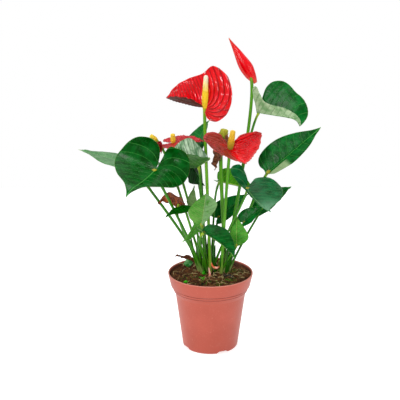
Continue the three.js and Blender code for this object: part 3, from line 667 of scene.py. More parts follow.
def vein_chart(along, out, spacing):
    """Number of the side vein beside a place, which is whole on a vein, the way along it, and their gap."""
    start = along - 0.3 * out - 0.35 * out ** 2
    spread = 3.2 * spacing
    reach = np.hypot(start, out)
    ahead = start > 0
    behind = np.arctan2(out, start) - math.pi / 2
    looped = behind + 1.4 * reach * np.sin(behind)
    return (np.where(ahead, start / spacing, -looped / spread), np.where(ahead, out, reach),
            np.where(ahead, spacing, reach * spread))


def blade_grid(outlines, count, rings):
    """Rings that grow from the joint to the margin, each from the tip along the left half and back.

    The joint comes first. Each place has its shares along and out, its ring's size as a share of the
    margin, its half (0 left, 1 right) and its step round the ring from 0 to 1.
    """
    left = smooth_curve(outlines[0], 1 - np.arange(count) / count)
    right = smooth_curve(outlines[1], np.arange(count) / count)
    margin = np.concatenate([left, right])
    loop = len(margin)
    ring = np.repeat((np.arange(rings) + 1) / rings, loop)
    along, out = np.tile(margin, (rings, 1)).T * ring
    side = np.tile(np.repeat([0, 1], count), rings)
    step = np.tile(np.arange(loop) / loop, rings)
    along, out, ring, side, step = (np.concatenate([[0], rest]) for rest in (along, out, ring, side, step))
    return along, out, ring, side.astype(int), step


def blade_lift(blade, relief, grid, veins):
    """How far the relief lifts each place off the middle surface, in mm."""
    along, out, ring, side, step = grid
    number, reach, gap = veins
    rib_width, calm_radius, puffs, cells_along = 1.3, 5, 22, 34
    seed = sum(ord(letter) for letter in blade.name)
    away = np.abs((number + 0.5) % 1 - 0.5) * gap * blade.length
    side_veins = np.exp(-(away / relief.vein) ** 2) * np.minimum(gap * 14, 1)
    rib = 1.3 * np.exp(-(out * blade.length / rib_width) ** 2) * (along > 0)
    puff = ripple(along * puffs, np.where(side == 0, out, -out) * puffs, seed) * relief.puff
    uneven = 2 * ripple(along * 9, out * 9, seed + 3)
    cells = np.abs(np.sin(math.pi * number)) * (0.6 + 0.4 * np.sin(reach * cells_along + uneven))
    wave = relief.wave * np.sin(step * math.tau * relief.waves + seed) * ring ** 6
    calm = 1 - np.exp(-(ring * blade.length / calm_radius) ** 2)
    return (wave + puff * ring - relief.sink * (side_veins + rib) + relief.quilt * cells * ring ** 0.5) * calm


def blade_mesh(blade, relief, count=44, rings=26, thickness=0.5):
    """A blade with relief on its upper side, dished veins on its underside and a thin rounded margin."""
    grid = blade_grid(blade.outlines, count, rings)
    along, out, ring, side, step = grid
    middle = blade_points(blade, side, along, out)
    loop, total = 2 * count, len(middle)
    fan = [(0, 1 + i, 1 + (i + 1) % loop) for i in range(loop)]
    quads = [(p, s, r, q) for p, q, r, s in grid_faces(rings, loop, start=1)]
    triangles = fan + [t for p, q, r, s in quads for t in ((p, q, r), (p, r, s))]
    up = normals_of(middle, triangles)
    veins = vein_chart(along, out, relief.spacing)
    lift = blade_lift(blade, relief, grid, veins)
    wall = thickness * (1 - 0.55 * ring ** 10)
    top = middle + up * (wall / 2 + lift)[:, None]
    under = middle + up * (lift * 0.9 - wall / 2)[:, None]
    upper = fan + quads
    edge = 1 + (rings - 1) * loop + np.arange(loop + 1) % loop
    border = [(p, p + total, q + total, q) for p, q in zip(edge, edge[1:])]
    faces = upper + back_side(upper, total) + border
    vertices = np.concatenate([top, under]) @ blade_turn(blade).T + blade.joint
    charts = {"shape": (along, np.where(side == 0, out, -out)), "veins": veins[:2], "margin": (ring, step)}
    charts = {key: np.tile(np.stack(pair, -1), (2, 1)) for key, pair in charts.items()}
    slots = [0] * len(upper) + [1] * (len(faces) - len(upper))
    return make_mesh(blade.name, vertices, faces, charts, slots)


# ---------------- stems


def stem_route(root, end, arrival, bow):
    """The four control points of a stem's curve, as the part lays it."""
    reach = np.linalg.norm(end - root)
    rise = (end - root) * 0.45 + np.array([0, 0, reach * bow])
    return [root, root + 0.8 * rise, end - arrival * min(0.22 * reach, 22), end]


def along_route(route, share):
    t = np.asarray(share, float)[:, None]
    p, q, r, s = route
    return (1 - t) ** 3 * p + 3 * (1 - t) ** 2 * t * q + 3 * (1 - t) * t ** 2 * r + t ** 3 * s


def tube_mesh(name, points, radii, sides, shares, groove=0.0):
    """A closed tube along points, grooved down one side by a share of its radius, with its stem chart."""
    points = np.asarray(points, float)
    ahead = np.gradient(points, axis=0)
    ahead /= np.linalg.norm(ahead, axis=1, keepdims=True)
    across = np.cross(ahead[0], [0.3, 1.0, 0.1])
    angle = turns_of(sides)
    dent = 1 - groove * np.exp(-((angle - math.pi) / 0.5) ** 2)
    rings = []
    for point, direction, radius in zip(points, ahead, radii):
        across = unit(across - direction * np.dot(across, direction))
        over = np.cross(direction, across)
        rings.append(point + (np.cos(angle)[:, None] * across + np.sin(angle)[:, None] * over)
                     * (radius * dent)[:, None])
    vertices, faces = capped(rings, points[0], points[-1])
    chart = np.stack([np.repeat(shares, sides), np.tile(angle / math.tau, len(points))], -1)
    chart = np.concatenate([chart, [[shares[0], 0], [shares[-1], 0]]])
    return make_mesh(name, vertices, faces, {"stem": chart})


def stem_mesh(name, route, radius, knee=0.25, foot=0.35):
    """A stalk: it thickens into a sheath at its foot and into a knee just under what it carries."""
    sheath_length, knee_drop, knee_length, sunk = 12, 4, 4.5, 1.2
    share = np.linspace(0, 1, 37)
    points = along_route(route, share)
    length = np.linalg.norm(np.diff(points, axis=0), axis=1).sum()
    sheath = np.exp(-(share * length / sheath_length) ** 2)
    swell = 1 + foot * sheath + knee * np.exp(-(((1 - share) * length - knee_drop) / knee_length) ** 2)
    points = np.concatenate([[points[0] + unit(points[0] - points[1]) * sunk], points])
    radii = radius * np.concatenate([[swell[0]], swell])
    return tube_mesh(name, points, radii, 12, np.concatenate([[0], share]), groove=0.12)


def root_place(stem):
    ring, twelfths = stem.slot
    x, y = polar(ROOT_RINGS[ring], twelfths * 30)
    cx, cy = CROWNS[stem.grow]
    return np.array([cx + x, cy + y, SOIL_TOP + ROOT_LIFT])


# ---------------- leaves


def add_leaf(leaf, upper, under):
    mesh = blade_mesh(leaf, LEAF_RELIEF)
    add_piece(f"blade_{leaf.name}", mesh, [upper, under], [f"leaf_{leaf.name}"])
    forward, _, up = blade_turn(leaf).T
    route = stem_route(root_place(leaf), leaf.joint - up * 0.35, unit(0.85 * up + 0.5 * forward), 0.1)
    mesh = stem_mesh(f"stalk_{leaf.name}", route, 1.1 + leaf.length * 0.01)
    add_piece(f"leaf_stalk_{leaf.name}", mesh, [STALK_SKIN], [f"stalk_{leaf.name}"])


# ---------------- flowers


def planting_tree(name, own_inputs, own_nodes, settings, own_links):
    """Geometry Nodes: one shape put on many points of a surface, made real, in one material.

    Both trees share the nodes and links below, and each adds its own. A link says from which node and
    output it goes to which node and input. Gives the tree, its inputs and its nodes by their names.
    """
    tree = bpy.data.node_groups.new(name, "GeometryNodeTree")
    kinds = {"Geometry": "Geometry", "Seed": "Int", "Finish": "Material", **own_inputs}
    inputs = {key: tree.interface.new_socket(key, in_out="INPUT", socket_type=f"NodeSocket{kind}")
              for key, kind in kinds.items()}
    tree.interface.new_socket("Geometry", in_out="OUTPUT", socket_type="NodeSocketGeometry")
    types = {
        "source": "NodeGroupInput", "spread": "GeometryNodeDistributePointsOnFaces",
        "put": "GeometryNodeInstanceOnPoints", "real": "GeometryNodeRealizeInstances",
        "paint": "GeometryNodeSetMaterial", "out": "NodeGroupOutput", **own_nodes}
    nodes = {key: tree.nodes.new(kind) for key, kind in types.items()}
    for key, setting, value in settings:
        setattr(nodes[key], setting, value)
    links = [
        ("source", "Geometry", "spread", "Mesh"), ("source", "Seed", "spread", "Seed"),
        ("spread", "Points", "put", "Points"), ("put", "Instances", "real", "Geometry"),
        ("real", "Geometry", "paint", "Geometry"), ("source", "Finish", "paint", "Material"),
        ("paint", "Geometry", "out", "Geometry"), *own_links]
    for origin, output, target, slot in links:
        tree.links.new(nodes[origin].outputs[output], nodes[target].inputs[slot])
    return tree, inputs, nodes


def floret_tree():
    """Small florets set evenly over a spadix, each a low dome."""
    tree, inputs, nodes = planting_tree(
        "florets", {"Spacing": "Float", "Size": "Float"}, {"dome": "GeometryNodeMeshIcoSphere"},
        [("spread", "distribute_method", "POISSON")],
        [("source", "Spacing", "spread", "Distance Min"), ("source", "Size", "dome", "Radius"),
         ("dome", "Mesh", "put", "Instance"), ("spread", "Rotation", "put", "Rotation")])
    nodes["spread"].inputs["Density Max"].default_value = 4e6
    nodes["dome"].inputs["Subdivisions"].default_value = 1
    return tree, inputs


def scatter_tree():
    """Copies of one shape strewn over a ground, turned and sized at random."""
    floats = dict.fromkeys(["Density", "Smallest", "Largest", "Tilt"], "Float")
    tree, inputs, nodes = planting_tree(
        "strewn", {"Shape": "Object", **floats},
        {"shape": "GeometryNodeObjectInfo", "least": "ShaderNodeCombineXYZ", "most": "ShaderNodeCombineXYZ",
         "turn": "FunctionNodeRandomValue", "size": "FunctionNodeRandomValue", "flip": "ShaderNodeMath"},
        [("turn", "data_type", "FLOAT_VECTOR"), ("flip", "operation", "MULTIPLY")],
        [("source", "Density", "spread", "Density"), ("source", "Shape", "shape", "Object"),
         ("source", "Tilt", "most", "X"), ("source", "Tilt", "most", "Y"), ("source", "Tilt", "flip", 0),
         ("flip", 0, "least", "X"), ("flip", 0, "least", "Y"),
         ("least", 0, "turn", 0), ("most", 0, "turn", 1), ("source", "Seed", "turn", "Seed"),
         ("source", "Smallest", "size", 2), ("source", "Largest", "size", 3),
         ("source", "Seed", "size", "Seed"), ("shape", "Geometry", "put", "Instance"),
         ("turn", 0, "put", "Rotation"), ("size", 1, "put", "Scale")])
    nodes["flip"].inputs[1].default_value = -1.0
    nodes["most"].inputs["Z"].default_value = math.tau
    return tree, inputs


def grown(mesh, tree, sockets, **values):
    """The plain mesh that a Geometry Nodes tree makes from a mesh; values go in by the inputs' names."""
    holder = in_scene("growing", mesh)
    modifier = holder.modifiers.new("grow", "NODES")
    modifier.node_group = tree
    for name, value in values.items():
        modifier[sockets[name].identifier] = value
    return evaluated(holder)


def spadix_axes(flower):
    right, back = flower.lean
    turn = Matrix.Rotation(math.radians(-back), 3, "X") @ Matrix.Rotation(math.radians(right), 3, "Y")
    forward = blade_turn(flower)[:, 0]
    return flower.joint - 0.7 * flower.spadix[1] * forward, np.array(turn)


def spadix_core(flower):
    """The spike itself: a blunt taper with a chart from foot to tip."""
    height, foot_radius, top_radius = flower.spadix
    foot, turn = spadix_axes(flower)
    cap_start = 0.92
    rounding = np.sin(np.linspace(0.1, math.pi / 2, 9))
    share = np.concatenate([np.linspace(0, cap_start, 40), cap_start + (1 - cap_start) * rounding])
    taper = [[foot_radius * 0.75, 0], [foot_radius, 0], [(foot_radius + top_radius) / 2, 0], [top_radius, 0]]
    profile = smooth_curve(taper, np.minimum(share / 0.9, 1))[:, 0]
    cap = np.clip((share - cap_start) / (1 - cap_start), 0, 1)
    radii = profile * np.sqrt(np.maximum(1 - cap ** 2, 0.0004))
    points = np.stack([0 * share, 0 * share, share * height], -1) @ turn.T + foot
    return tube_mesh(f"spadix_{flower.name}", points, radii, 20, share)


def with_florets(core, finish):
    """A spike and its florets as one mesh; the florets' chart is read from the spike they sit on."""
    core.materials.append(finish)
    florets = grown(core.copy(), *FLORETS, Spacing=0.00095, Size=0.00058, Seed=7, Finish=finish)
    spike = np.array([v.co for v in core.vertices])
    foot, top = spike[-2], spike[-1]
    axis = (top - foot) / np.linalg.norm(top - foot) ** 2
    vertices = np.concatenate([spike, np.array([v.co for v in florets.vertices])])
    faces = [tuple(p.vertices) for p in core.polygons]
    faces += [tuple(i + len(spike) for i in p.vertices) for p in florets.polygons]
    share = np.clip((vertices - foot) @ axis, 0, 1)
    return make_mesh(core.name + "_whole", vertices / MM, faces, {"stem": np.stack([share, 0 * share], -1)})


def add_flower(flower, skins, spadix_finish, stem_finish):
    name = flower.name
    relief, slot = (DRY_RELIEF, "withered spathe") if flower.old else (SPATHE_RELIEF, "spathe")
    add_piece(f"petal_{name}", blade_mesh(flower, relief, 70, 44, 0.6), skins, [f"spathe_{name}"])
    spike = with_florets(spadix_core(flower), spadix_finish)
    slot = "old spadix" if flower.old else "spadix"
    add_piece(f"spike_{name}", spike, [spadix_finish], [f"spadix_{name}"])
    foot, turn = spadix_axes(flower)
    up = turn[:, 2]
    route = stem_route(root_place(flower), foot - up * GAP, up, 0.05)
    route[3] = foot + up
    mesh = stem_mesh(f"peduncle_{name}", route, flower.peduncle, knee=0.3, foot=0.25)
    add_piece(f"flower_stalk_{name}", mesh, [stem_finish], [f"peduncle_{name}"])


def bud_mesh():
    """A spathe still rolled round its spadix: one and a quarter turns, with its free edge down one side."""
    axis, height = unit(BUD.tip - BUD.foot), np.linalg.norm(BUD.tip - BUD.foot)
    side = unit(np.cross(axis, [0, 1.0, 0]))
    front = np.cross(axis, side)
    rows, columns, thickness = 70, 90, 0.5
    share = np.linspace(0, 1, rows)
    wide = BUD.radius
    profile = [[0.3 * wide, 0], [0.8 * wide, 0.16], [wide, 0.35], [0.72 * wide, 0.6], [0.3 * wide, 0.84],
               [0.5, 1]]
    turn = np.linspace(0, 1, columns)
    angle = math.radians(-35) + turn * math.tau * 1.25
    rings = []
    for (radius, rise), part in zip(smooth_curve(profile, share), share):
        reach = radius * (0.8 + 0.2 * turn) * (1 + 0.03 * ripple(angle * 1.4, part * 16, 5))
        spiral = np.stack([np.cos(angle) * reach, np.sin(angle) * reach], -1) @ [side, front]
        rings.append(BUD.foot + axis * rise * height + spiral)
    vertices = np.concatenate(rings)
    faces = grid_faces(rows, columns, closed=False)
    inner = vertices - normals_of(vertices, faces) * thickness
    total = len(vertices)
    grid = np.arange(total).reshape(rows, columns)
    border = [*grid[0], *grid[1:, -1], *grid[-1, -2::-1], *grid[-2:0:-1, 0]]
    faces += back_side(faces, total)
    faces += [(q, p, p + total, q + total) for p, q in zip(border, border[1:] + border[:1])]
    chart = np.stack([np.repeat(share, columns), np.tile(turn, rows)], -1)
    return make_mesh("bud", np.concatenate([vertices, inner]), faces, {"stem": np.tile(chart, (2, 1))})


def add_bud():
    add_piece("rolled_spathe", bud_mesh(), [BUD_SKIN], ["spathe_bud"])
    axis = unit(BUD.tip - BUD.foot)
    neck = 0.8 * BUD.radius
    end = BUD.foot + axis * BUD.hold - np.array([0, neck + BUD.peduncle + 2 * GAP, 0])
    route = stem_route(root_place(BUD), end, axis, 0.05)
    route[3] = end + axis * 4 + np.array([0, neck, 0])
    mesh = stem_mesh("peduncle_bud", route, BUD.peduncle, knee=0.0, foot=0.25)
    add_piece("flower_stalk_bud", mesh, [FLOWER_STALK], ["peduncle_bud"])


def add_withered_spathe():
    mesh = blade_mesh(WITHERED_SPATHE, DRY_RELIEF, thickness=0.4)
    add_piece("petal_withered", mesh, [WITHERED, WITHERED], ["spathe_withered"])
    up = blade_turn(WITHERED_SPATHE)[:, 2]
    route = stem_route(root_place(WITHERED_SPATHE), WITHERED_SPATHE.joint - up * GAP, up, 0.05)
    mesh = stem_mesh("peduncle_withered", route, 1.2)
    add_piece("flower_stalk_withered", mesh, [STALK_SKIN], ["peduncle_withered"])


def add_dry_sheath():
    mesh = blade_mesh(DRY_SHEATH, DRY_RELIEF, 30, 16, 0.4)
    add_piece("papery_sheath", mesh, [SHEATH_SKIN, SHEATH_SKIN], ["dry_sheath"])


# ---------------- pot


def turned_mesh(name, profile, segments=192):
    """A closed profile of (radius, height) turned about +Z; it starts and ends on the axis."""
    (_, low), *inner, (_, high) = profile
    rings = [level_ring(turns_of(segments), radius, height) for radius, height in inner]
    return make_mesh(name, *capped(rings, [0, 0, low], [0, 0, high]))


def rounded(corners, radius):
    """A profile with each inner corner turned into a short curve."""
    corners = [np.asarray(c, float) for c in corners]
    out = [corners[0]]
    for before, here, after in zip(corners, corners[1:], corners[2:]):
        leave, arrive = before - here, after - here
        cut = min(radius, 0.4 * np.linalg.norm(leave), 0.4 * np.linalg.norm(arrive))
        p = here + unit(leave) * cut
        q = here + unit(arrive) * cut
        out += [(1 - t) ** 2 * p + 2 * (1 - t) * t * here + t ** 2 * q for t in (0, 0.33, 0.67, 1)]
    return out + [corners[-1]]


def pot_profiles():
    """Corner points of the pot: its underside, its outer wall and its inner wall."""
    height, wall = POT.height, POT.wall
    collar = height - POT.collar_height
    ring = collar - POT.ring_drop
    neck = ring - POT.neck_drop
    floor = POT.floor_gap + wall
    step, lip = 0.7, 0.4
    under = [[0, 0], [POT.hub_radius, 0], [POT.hub_radius, POT.floor_gap],
             [POT.foot_radius - wall, POT.floor_gap], [POT.foot_radius - wall, 0]]
    outside = [[POT.foot_radius, 0], [POT.base_radius - 0.6, 2], [POT.base_radius, POT.corner_height],
               [POT.neck_radius, neck]]
    grooved = [(-step, 0), (-0.2, 0.5), (-0.7, 1.1), (0.2, 1.7), (1.1, 4.4), (0.5, 5.2), (1.6, 5.6)]
    outside += [[POT.ring_radius + out, ring + up] for out, up in grooved]
    outside += [[POT.collar_foot_radius - step, collar - step], [POT.collar_foot_radius, collar],
                [POT.rim_radius, height - 1], [POT.rim_radius - lip, height]]
    share = (floor - POT.corner_height) / (neck - POT.corner_height)
    floor_radius = POT.base_radius + share * (POT.neck_radius - POT.base_radius) - wall
    inside = [[POT.rim_radius - wall - lip, height], [POT.collar_foot_radius - wall - lip, collar],
              [POT.neck_radius - wall, neck], [floor_radius, floor], [0, floor]]
    return under, outside, inside


def cut_notches(mesh):
    """Lifts the foot's edge into its notches, whose sides slope."""
    half, half_top = NOTCH.width / 2, NOTCH.top_width / 2
    for vertex in mesh.vertices:
        x, y, z = vertex.co / MM
        if math.hypot(x, y) < POT.hub_radius + 5 or z > NOTCH.height:
            continue
        for i in range(NOTCH.count):
            middle = NOTCH.first + i * 360 / NOTCH.count
            off = (math.degrees(math.atan2(y, x)) - middle + 180) % 360 - 180
            beside = abs(math.radians(off)) * POT.foot_radius
            room = min(max((half - beside) / (half - half_top), 0), 1) * NOTCH.height
            vertex.co.z = max(vertex.co.z, room * MM)


def add_pot():
    under, outside, inside = pot_profiles()
    mesh = turned_mesh("pot", rounded(under + outside + inside, 0.5))
    cut_notches(mesh)
    holder = in_scene("pot_blank", mesh)
    plugs = []
    for i in range(DRAIN.count):
        x, y = polar(DRAIN.circle, i * 360 / DRAIN.count)
        plug_mesh = turned_mesh("drain", [[0, 0], [DRAIN.radius, 0], [DRAIN.radius, 12], [0, 12]], 32)
        plug_mesh.transform(Matrix.Translation(Vector((x, y, -2)) * MM))
        plugs.append(in_scene("drain_cutter", plug_mesh))
        cut = holder.modifiers.new("drain", "BOOLEAN")
        cut.object, cut.operation, cut.solver = plugs[-1], "DIFFERENCE", "EXACT"
    made = evaluated(holder)
    for plug in plugs:
        bpy.data.objects.remove(plug)
    made.set_sharp_from_angle(angle=math.radians(40))
    add_piece("nursery_pot", made, [POT_PLASTIC], ["pot"])


# ---------------- soil and what lies on it


def edge_radius():
    """Radius of the soil's top edge, just inside the wall."""
    lip, inset = 0.4, GAP + 0.1
    foot = POT.collar_foot_radius - POT.wall - lip
    share = (SOIL_EDGE - (POT.height - POT.collar_height)) / POT.collar_height
    return foot + share * (POT.rim_radius - POT.wall - lip - foot) - inset


def soil_height(x, y):
    """Height of the soil at a place, in mm: crumbly, a little lower at the wall than in the middle."""
    reach = np.hypot(x, y)
    fall = np.clip((reach - SOIL_FLAT_RADIUS) / (edge_radius() - SOIL_FLAT_RADIUS), 0, 1)
    base = SOIL_TOP - (SOIL_TOP - SOIL_EDGE) * fall ** 1.3 - 0.6
    crumbs = ripple(x * 0.5, y * 0.5, 11, 7) * 0.5 + ripple(x * 1.3, y * 1.3, 12, 7) * 0.35
    lumps = ripple(x * 0.16, y * 0.16, 14, 5) * 0.5
    return base + crumbs + lumps * (reach < edge_radius() - 2)


def soil_rings(x, y, radii, columns, lift=0.0):
    """Rings of the soil's surface about a place, and their middle point."""
    rings = []
    for radius in radii:
        ring = level_ring(turns_of(columns), radius, 0) + [x, y, 0]
        ring[:, 2] = soil_height(ring[:, 0], ring[:, 1]) + lift
        rings.append(ring)
    return rings, [x, y, float(soil_height(np.array(float(x)), np.array(float(y)))) + lift]


def soil_mesh():
    """The whole plug of soil: its crumbly top, and its plain side and bottom inside the pot."""
    segments, inset = 220, GAP + 0.1
    wall, neck, floor = pot_profiles()[2][1:4]
    side = [[floor[0] - inset, floor[1] + inset], [neck[0] - inset, neck[1]], [wall[0] - inset, wall[1]]]
    top, middle = soil_rings(0, 0, np.linspace(edge_radius(), 0.8, 60), segments)
    rings = [level_ring(turns_of(segments), radius, height) for radius, height in side] + top
    return make_mesh("soil", *capped(rings, [0, 0, side[0][1]], middle))


def ground_patch(x, y, radius, rows=6, columns=20, lift=0.0):
    """A round patch of the soil's surface, to strew things on."""
    rings, middle = soil_rings(x, y, np.linspace(radius, radius / rows, rows), columns, lift)
    last = (rows - 1) * columns
    faces = grid_faces(rows, columns)
    faces += [(rows * columns, last + i, last + (i + 1) % columns) for i in range(columns)]
    return make_mesh("ground", np.concatenate(rings + [[middle]]), faces)


def strand(name, length, radius, curl, seed):
    """A short crooked root or fibre that lies along X."""
    share = np.linspace(0, 1, 7)
    bow = share * math.pi
    bend = np.sin(bow * random.Random(seed).uniform(0.8, 1.6)) * curl
    points = np.stack([(share - 0.5) * length, bend * length * 0.3,
                       0.3 * radius + np.sin(bow) * curl * length * 0.14], -1)
    return tube_mesh(name, points, radius * (1 - 0.6 * np.abs(share - 0.4)), 4, share)


def flake(name, length, width, thick, seed):
    """A rough chip of bark or peat: a low lump of a few faces."""
    dice = random.Random(seed)
    ring = [(math.cos(angle) * length / 2 * dice.uniform(0.75, 1.1),
             math.sin(angle) * width / 2 * dice.uniform(0.7, 1.1)) for angle in turns_of(8)]
    vertices = [(x, y, thick * dice.uniform(-0.4, 0.1)) for x, y in ring]
    vertices += [(x * 0.7, y * 0.7, thick * dice.uniform(0.5, 1.0)) for x, y in ring]
    faces = grid_faces(2, 8) + [tuple(range(7, -1, -1)), tuple(range(8, 16))]
    return make_mesh(name, np.array(vertices), faces)


def leaflet(name, length, width):
    """A tiny cupped leaf, for moss and seedlings."""
    share = np.linspace(0, 1, 5)
    wide = np.array([0.15, 0.8, 1.0, 0.7, 0.08]) * width / 2
    rise = np.sin(share * 1.8) * length * 0.5
    rows = [np.stack([share * length, side * wide, rise + abs(side) * wide * 0.4], -1) for side in (-1, 0, 1)]
    vertices = np.concatenate(rows + [row - [0, 0, 0.12 * width] for row in rows])
    faces = [(c + 5, c + 6, c + 1, c) for row in (0, 5) for c in range(row, row + 4)]
    faces += back_side(faces, 15)
    border = [0, 1, 2, 3, 4, 9, 14, 13, 12, 11, 10, 5]
    faces += [(p, q, q + 15, p + 15) for p, q in zip(border, border[1:] + border[:1])]
    return make_mesh(name, vertices, faces)


def strew(name, ground, mesh, finish, density, sizes, tilt, seed):
    """Strews copies of a mesh over a ground. Density is a number on a square metre."""
    shape = in_scene(mesh.name, mesh)
    made = grown(ground, *STREWN, Shape=shape, Density=density, Smallest=sizes[0], Largest=sizes[1],
                 Tilt=tilt, Seed=seed, Finish=finish)
    bpy.data.objects.remove(shape)
    add_piece(name, made, [finish])


def add_soil():
    add_piece("potting_soil", soil_mesh(), [PEAT], ["soil"])
    whole = edge_radius() - 4
    fibre, root = strand("fibre", 11, 0.28, 1.0, 1), strand("root", 17, 0.42, 1.3, 2)
    chip, crumb = flake("chip", 6, 3.4, 1.6, 3), flake("crumb", 3, 2.4, 1.8, 4)
    for name, radius, shape, finish, density, sizes, tilt, seed in (
            ("peat_fibres", whole, fibre, FIBRE, 60000, (0.5, 1.1), 0.5, 21),
            ("pale_roots", whole, root, PALE_ROOT, 9000, (0.5, 1.0), 0.35, 22),
            ("bark_crumbs", whole, crumb, BARK, 90000, (0.4, 1.1), 0.9, 23),
            ("bark_chips", whole - 3, chip, BARK, 16000, (0.5, 1.1), 0.5, 24)):
        strew(name, ground_patch(0, 0, radius, 12, 48), shape, finish, density, sizes, tilt, seed)
    moss, sprout = leaflet("moss", 2.2, 1.1), leaflet("sprout", 4.0, 2.6)
    tufts = [(34, 6, 14, 400000), (28, -26, 9, 500000), (12, -38, 8, 250000), (-30, -18, 12, 120000),
             (-8, -36, 10, 160000), (0, 36, 12, 200000)]
    for i, (x, y, radius, density) in enumerate(tufts):
        strew(f"moss_{i}", ground_patch(x, y, radius), moss, MOSS, density, (0.5, 1.2), 1.1, 30 + i)
    for i, (x, y) in enumerate([(-10.5, -9), (-12, -27), (-36, -36)]):
        ground = ground_patch(x, y, 2.4, 2, 10, 1.5)
        strew(f"seedling_{i}", ground, sprout, SPROUT, 300000, (0.7, 1.2), 0.9, 40 + i)
    lay("bark_slab", flake("slab", 21, 10, 2.6, 5), DARK_BARK, (25, -17, 109.4), (8, 0, -38))
    lay("round_leaf.001", leaflet("round_leaf", 13, 12), ROUND_LEAF, (-38.5, 27, 112), (62, 0, 8))


def lay(name, mesh, finish, place, turns):
    """One shape put down at a given place: turned in degrees about X, Y and Z, then moved to its place."""
    turned = Euler([math.radians(turn) for turn in turns]).to_matrix().to_4x4()
    mesh.transform(Matrix.Translation(Vector(place) * MM) @ turned)
    add_piece(name, mesh, [finish])


def add_scraps():
    """What shows at the foot of the stems: a pink young shoot, a curled sheath and a seedling's stalk."""
    share = np.linspace(0, 1, 24)
    for name, finish, places, radii in (
            ("pink_shoot", PINK_SHEATH, [(-1.5, -19, 106), (-1.1, -19.5, 114), (-2.6, -18.5, 123)],
             (1.9, 1.6, 0.5)),
            ("curled_sheath", CURLED_SHEATH,
             [(0.6, -3, 126), (3.5, -6.5, 120), (9, -6.5, 118), (14, -3, 120)], (0.6, 1.9, 0.9)),
            ("seedling_stalk", ROUND_LEAF, [(-34, 31, 104), (-35, 29, 110), (-37, 26.6, 112.4)],
             (0.6, 0.5, 0.5))):
        thick = np.interp(share, [0, 0.5, 1], radii)
        mesh = tube_mesh(name, smooth_curve(places, share), thick, 12, share)
        add_piece(name, mesh, [finish])


def add_crown(name):
    """A short stem: it swells at its foot, with the rings that old leaves leave."""
    x, y = CROWNS[name]
    share = np.linspace(0, 1, 40)
    cap = np.sqrt(1 - (np.maximum(share - 0.93, 0) / 0.075) ** 2)
    radii = CROWN.foot_radius + (CROWN.top_radius - CROWN.foot_radius) * share
    radii = radii * (1 + 0.05 * np.sin(share * 22)) * cap
    points = np.stack([x + 0 * share, y + 0 * share, SOIL_TOP + GAP - 1.5 + share * (CROWN.height + 2.5)], -1)
    mesh = tube_mesh(f"crown_{name}", points, radii, 28, share)
    add_piece(f"short_stem_{name}", mesh, [CROWN_SKIN], [f"crown_{name}"])


def add_shoots():
    """Short young shoots that stand close together among the feet of the stalks."""
    dice = random.Random(61)
    share = np.linspace(0, 1, 20)
    for i in range(18):
        x, y = CROWNS["left" if i % 2 else "right"]
        out = np.array([*polar(1, dice.uniform(0, 360)), 0])
        foot = np.array([x, y, SOIL_TOP - 2]) + out * dice.uniform(7, 11)
        tall = dice.uniform(24, 62)
        tip = foot + out * tall * dice.uniform(0.05, 0.3) + [0, 0, tall]
        knee = (foot + tip) / 2 + out * dice.uniform(1, 3)
        thick = dice.uniform(1.3, 2.0) * np.sqrt(1 - share ** 3) + 0.1
        mesh = tube_mesh(f"shoot_{i}", smooth_curve([foot, knee, tip], share), thick, 12, share)
        add_piece(f"young_shoot_{i}", mesh, [SHOOT_SKIN])


# ---------------- studio


def add_studio():
    """A plain pale floor, soft light and the camera."""
    corners = np.array([[-800, -800, 0], [800, -800, 0], [800, 800, 0], [-800, 800, 0]])
    floor = in_scene("floor", make_mesh("floor", corners, [(0, 1, 2, 3)]))
    floor.data.materials.append(Finish("floor paper").surface(
        (0.7, 0.7, 0.7, 1.0), 0.9, Emission_Color=(1.0, 1.0, 1.0, 1.0), Emission_Strength=0.55))
    add_room()
    add_lamp("key", (-0.35, -1.7, 0.85), 0.28, 18)
    add_lamp("left", (-1.5, -0.1, 1.1), 0.35, 9)
    add_lamp("fill", (1.4, -1.0, 0.7), 0.6, 6)
    add_lamp("top", (0.1, 0.5, 1.7), 0.5, 10)
    camera = in_scene("camera", bpy.data.cameras.new("camera"))
    camera.data.lens, camera.data.sensor_width = 100.5, 36
    target, distance, lift = Vector((-14.8, 0, 215.8)) * MM, 1.55, math.radians(16.7)
    back = Vector((0, -math.cos(lift), math.sin(lift)))
    camera.location = target + back * distance
    look_along(camera, -back)
    bpy.context.scene.camera = camera
    bpy.context.scene.view_settings.view_transform = "Standard"


def look_along(thing, direction):
    thing.rotation_mode = "QUATERNION"
    thing.rotation_quaternion = direction.to_track_quat("-Z", "Y")


def add_room():
    """A room that the camera sees white, while its light is dimmer in front of the plant than behind."""
    room = Finish("studio", bpy.data.worlds)
    _, y, z = room.value("Generated", "ShaderNodeTexCoord", {}).parts()
    seen = room.value("Is Camera Ray", "ShaderNodeLightPath", {})
    light = room.math("MAXIMUM", seen, y.between(-0.4, 0.6) * 0.25 + z.between(0.1, 0.9) * 0.5 + 0.25)
    paint = room.node("ShaderNodeBackground", {}, {"Color": (1.0, 1.0, 1.0, 1.0), "Strength": light})
    out = room.node("ShaderNodeOutputWorld", {}, {})
    room.tree.links.new(paint.outputs["Background"], out.inputs["Surface"])
    bpy.context.scene.world = room.owner


def add_lamp(name, place, size, power):
    """A square soft light that points at the plant."""
    lamp = in_scene(name, bpy.data.lights.new(name, "AREA"))
    lamp.data.size, lamp.data.energy = size, power
    lamp.location = place
    look_along(lamp, Vector((0, 0, 0.22)) - Vector(place))


# ---------------- putting it together

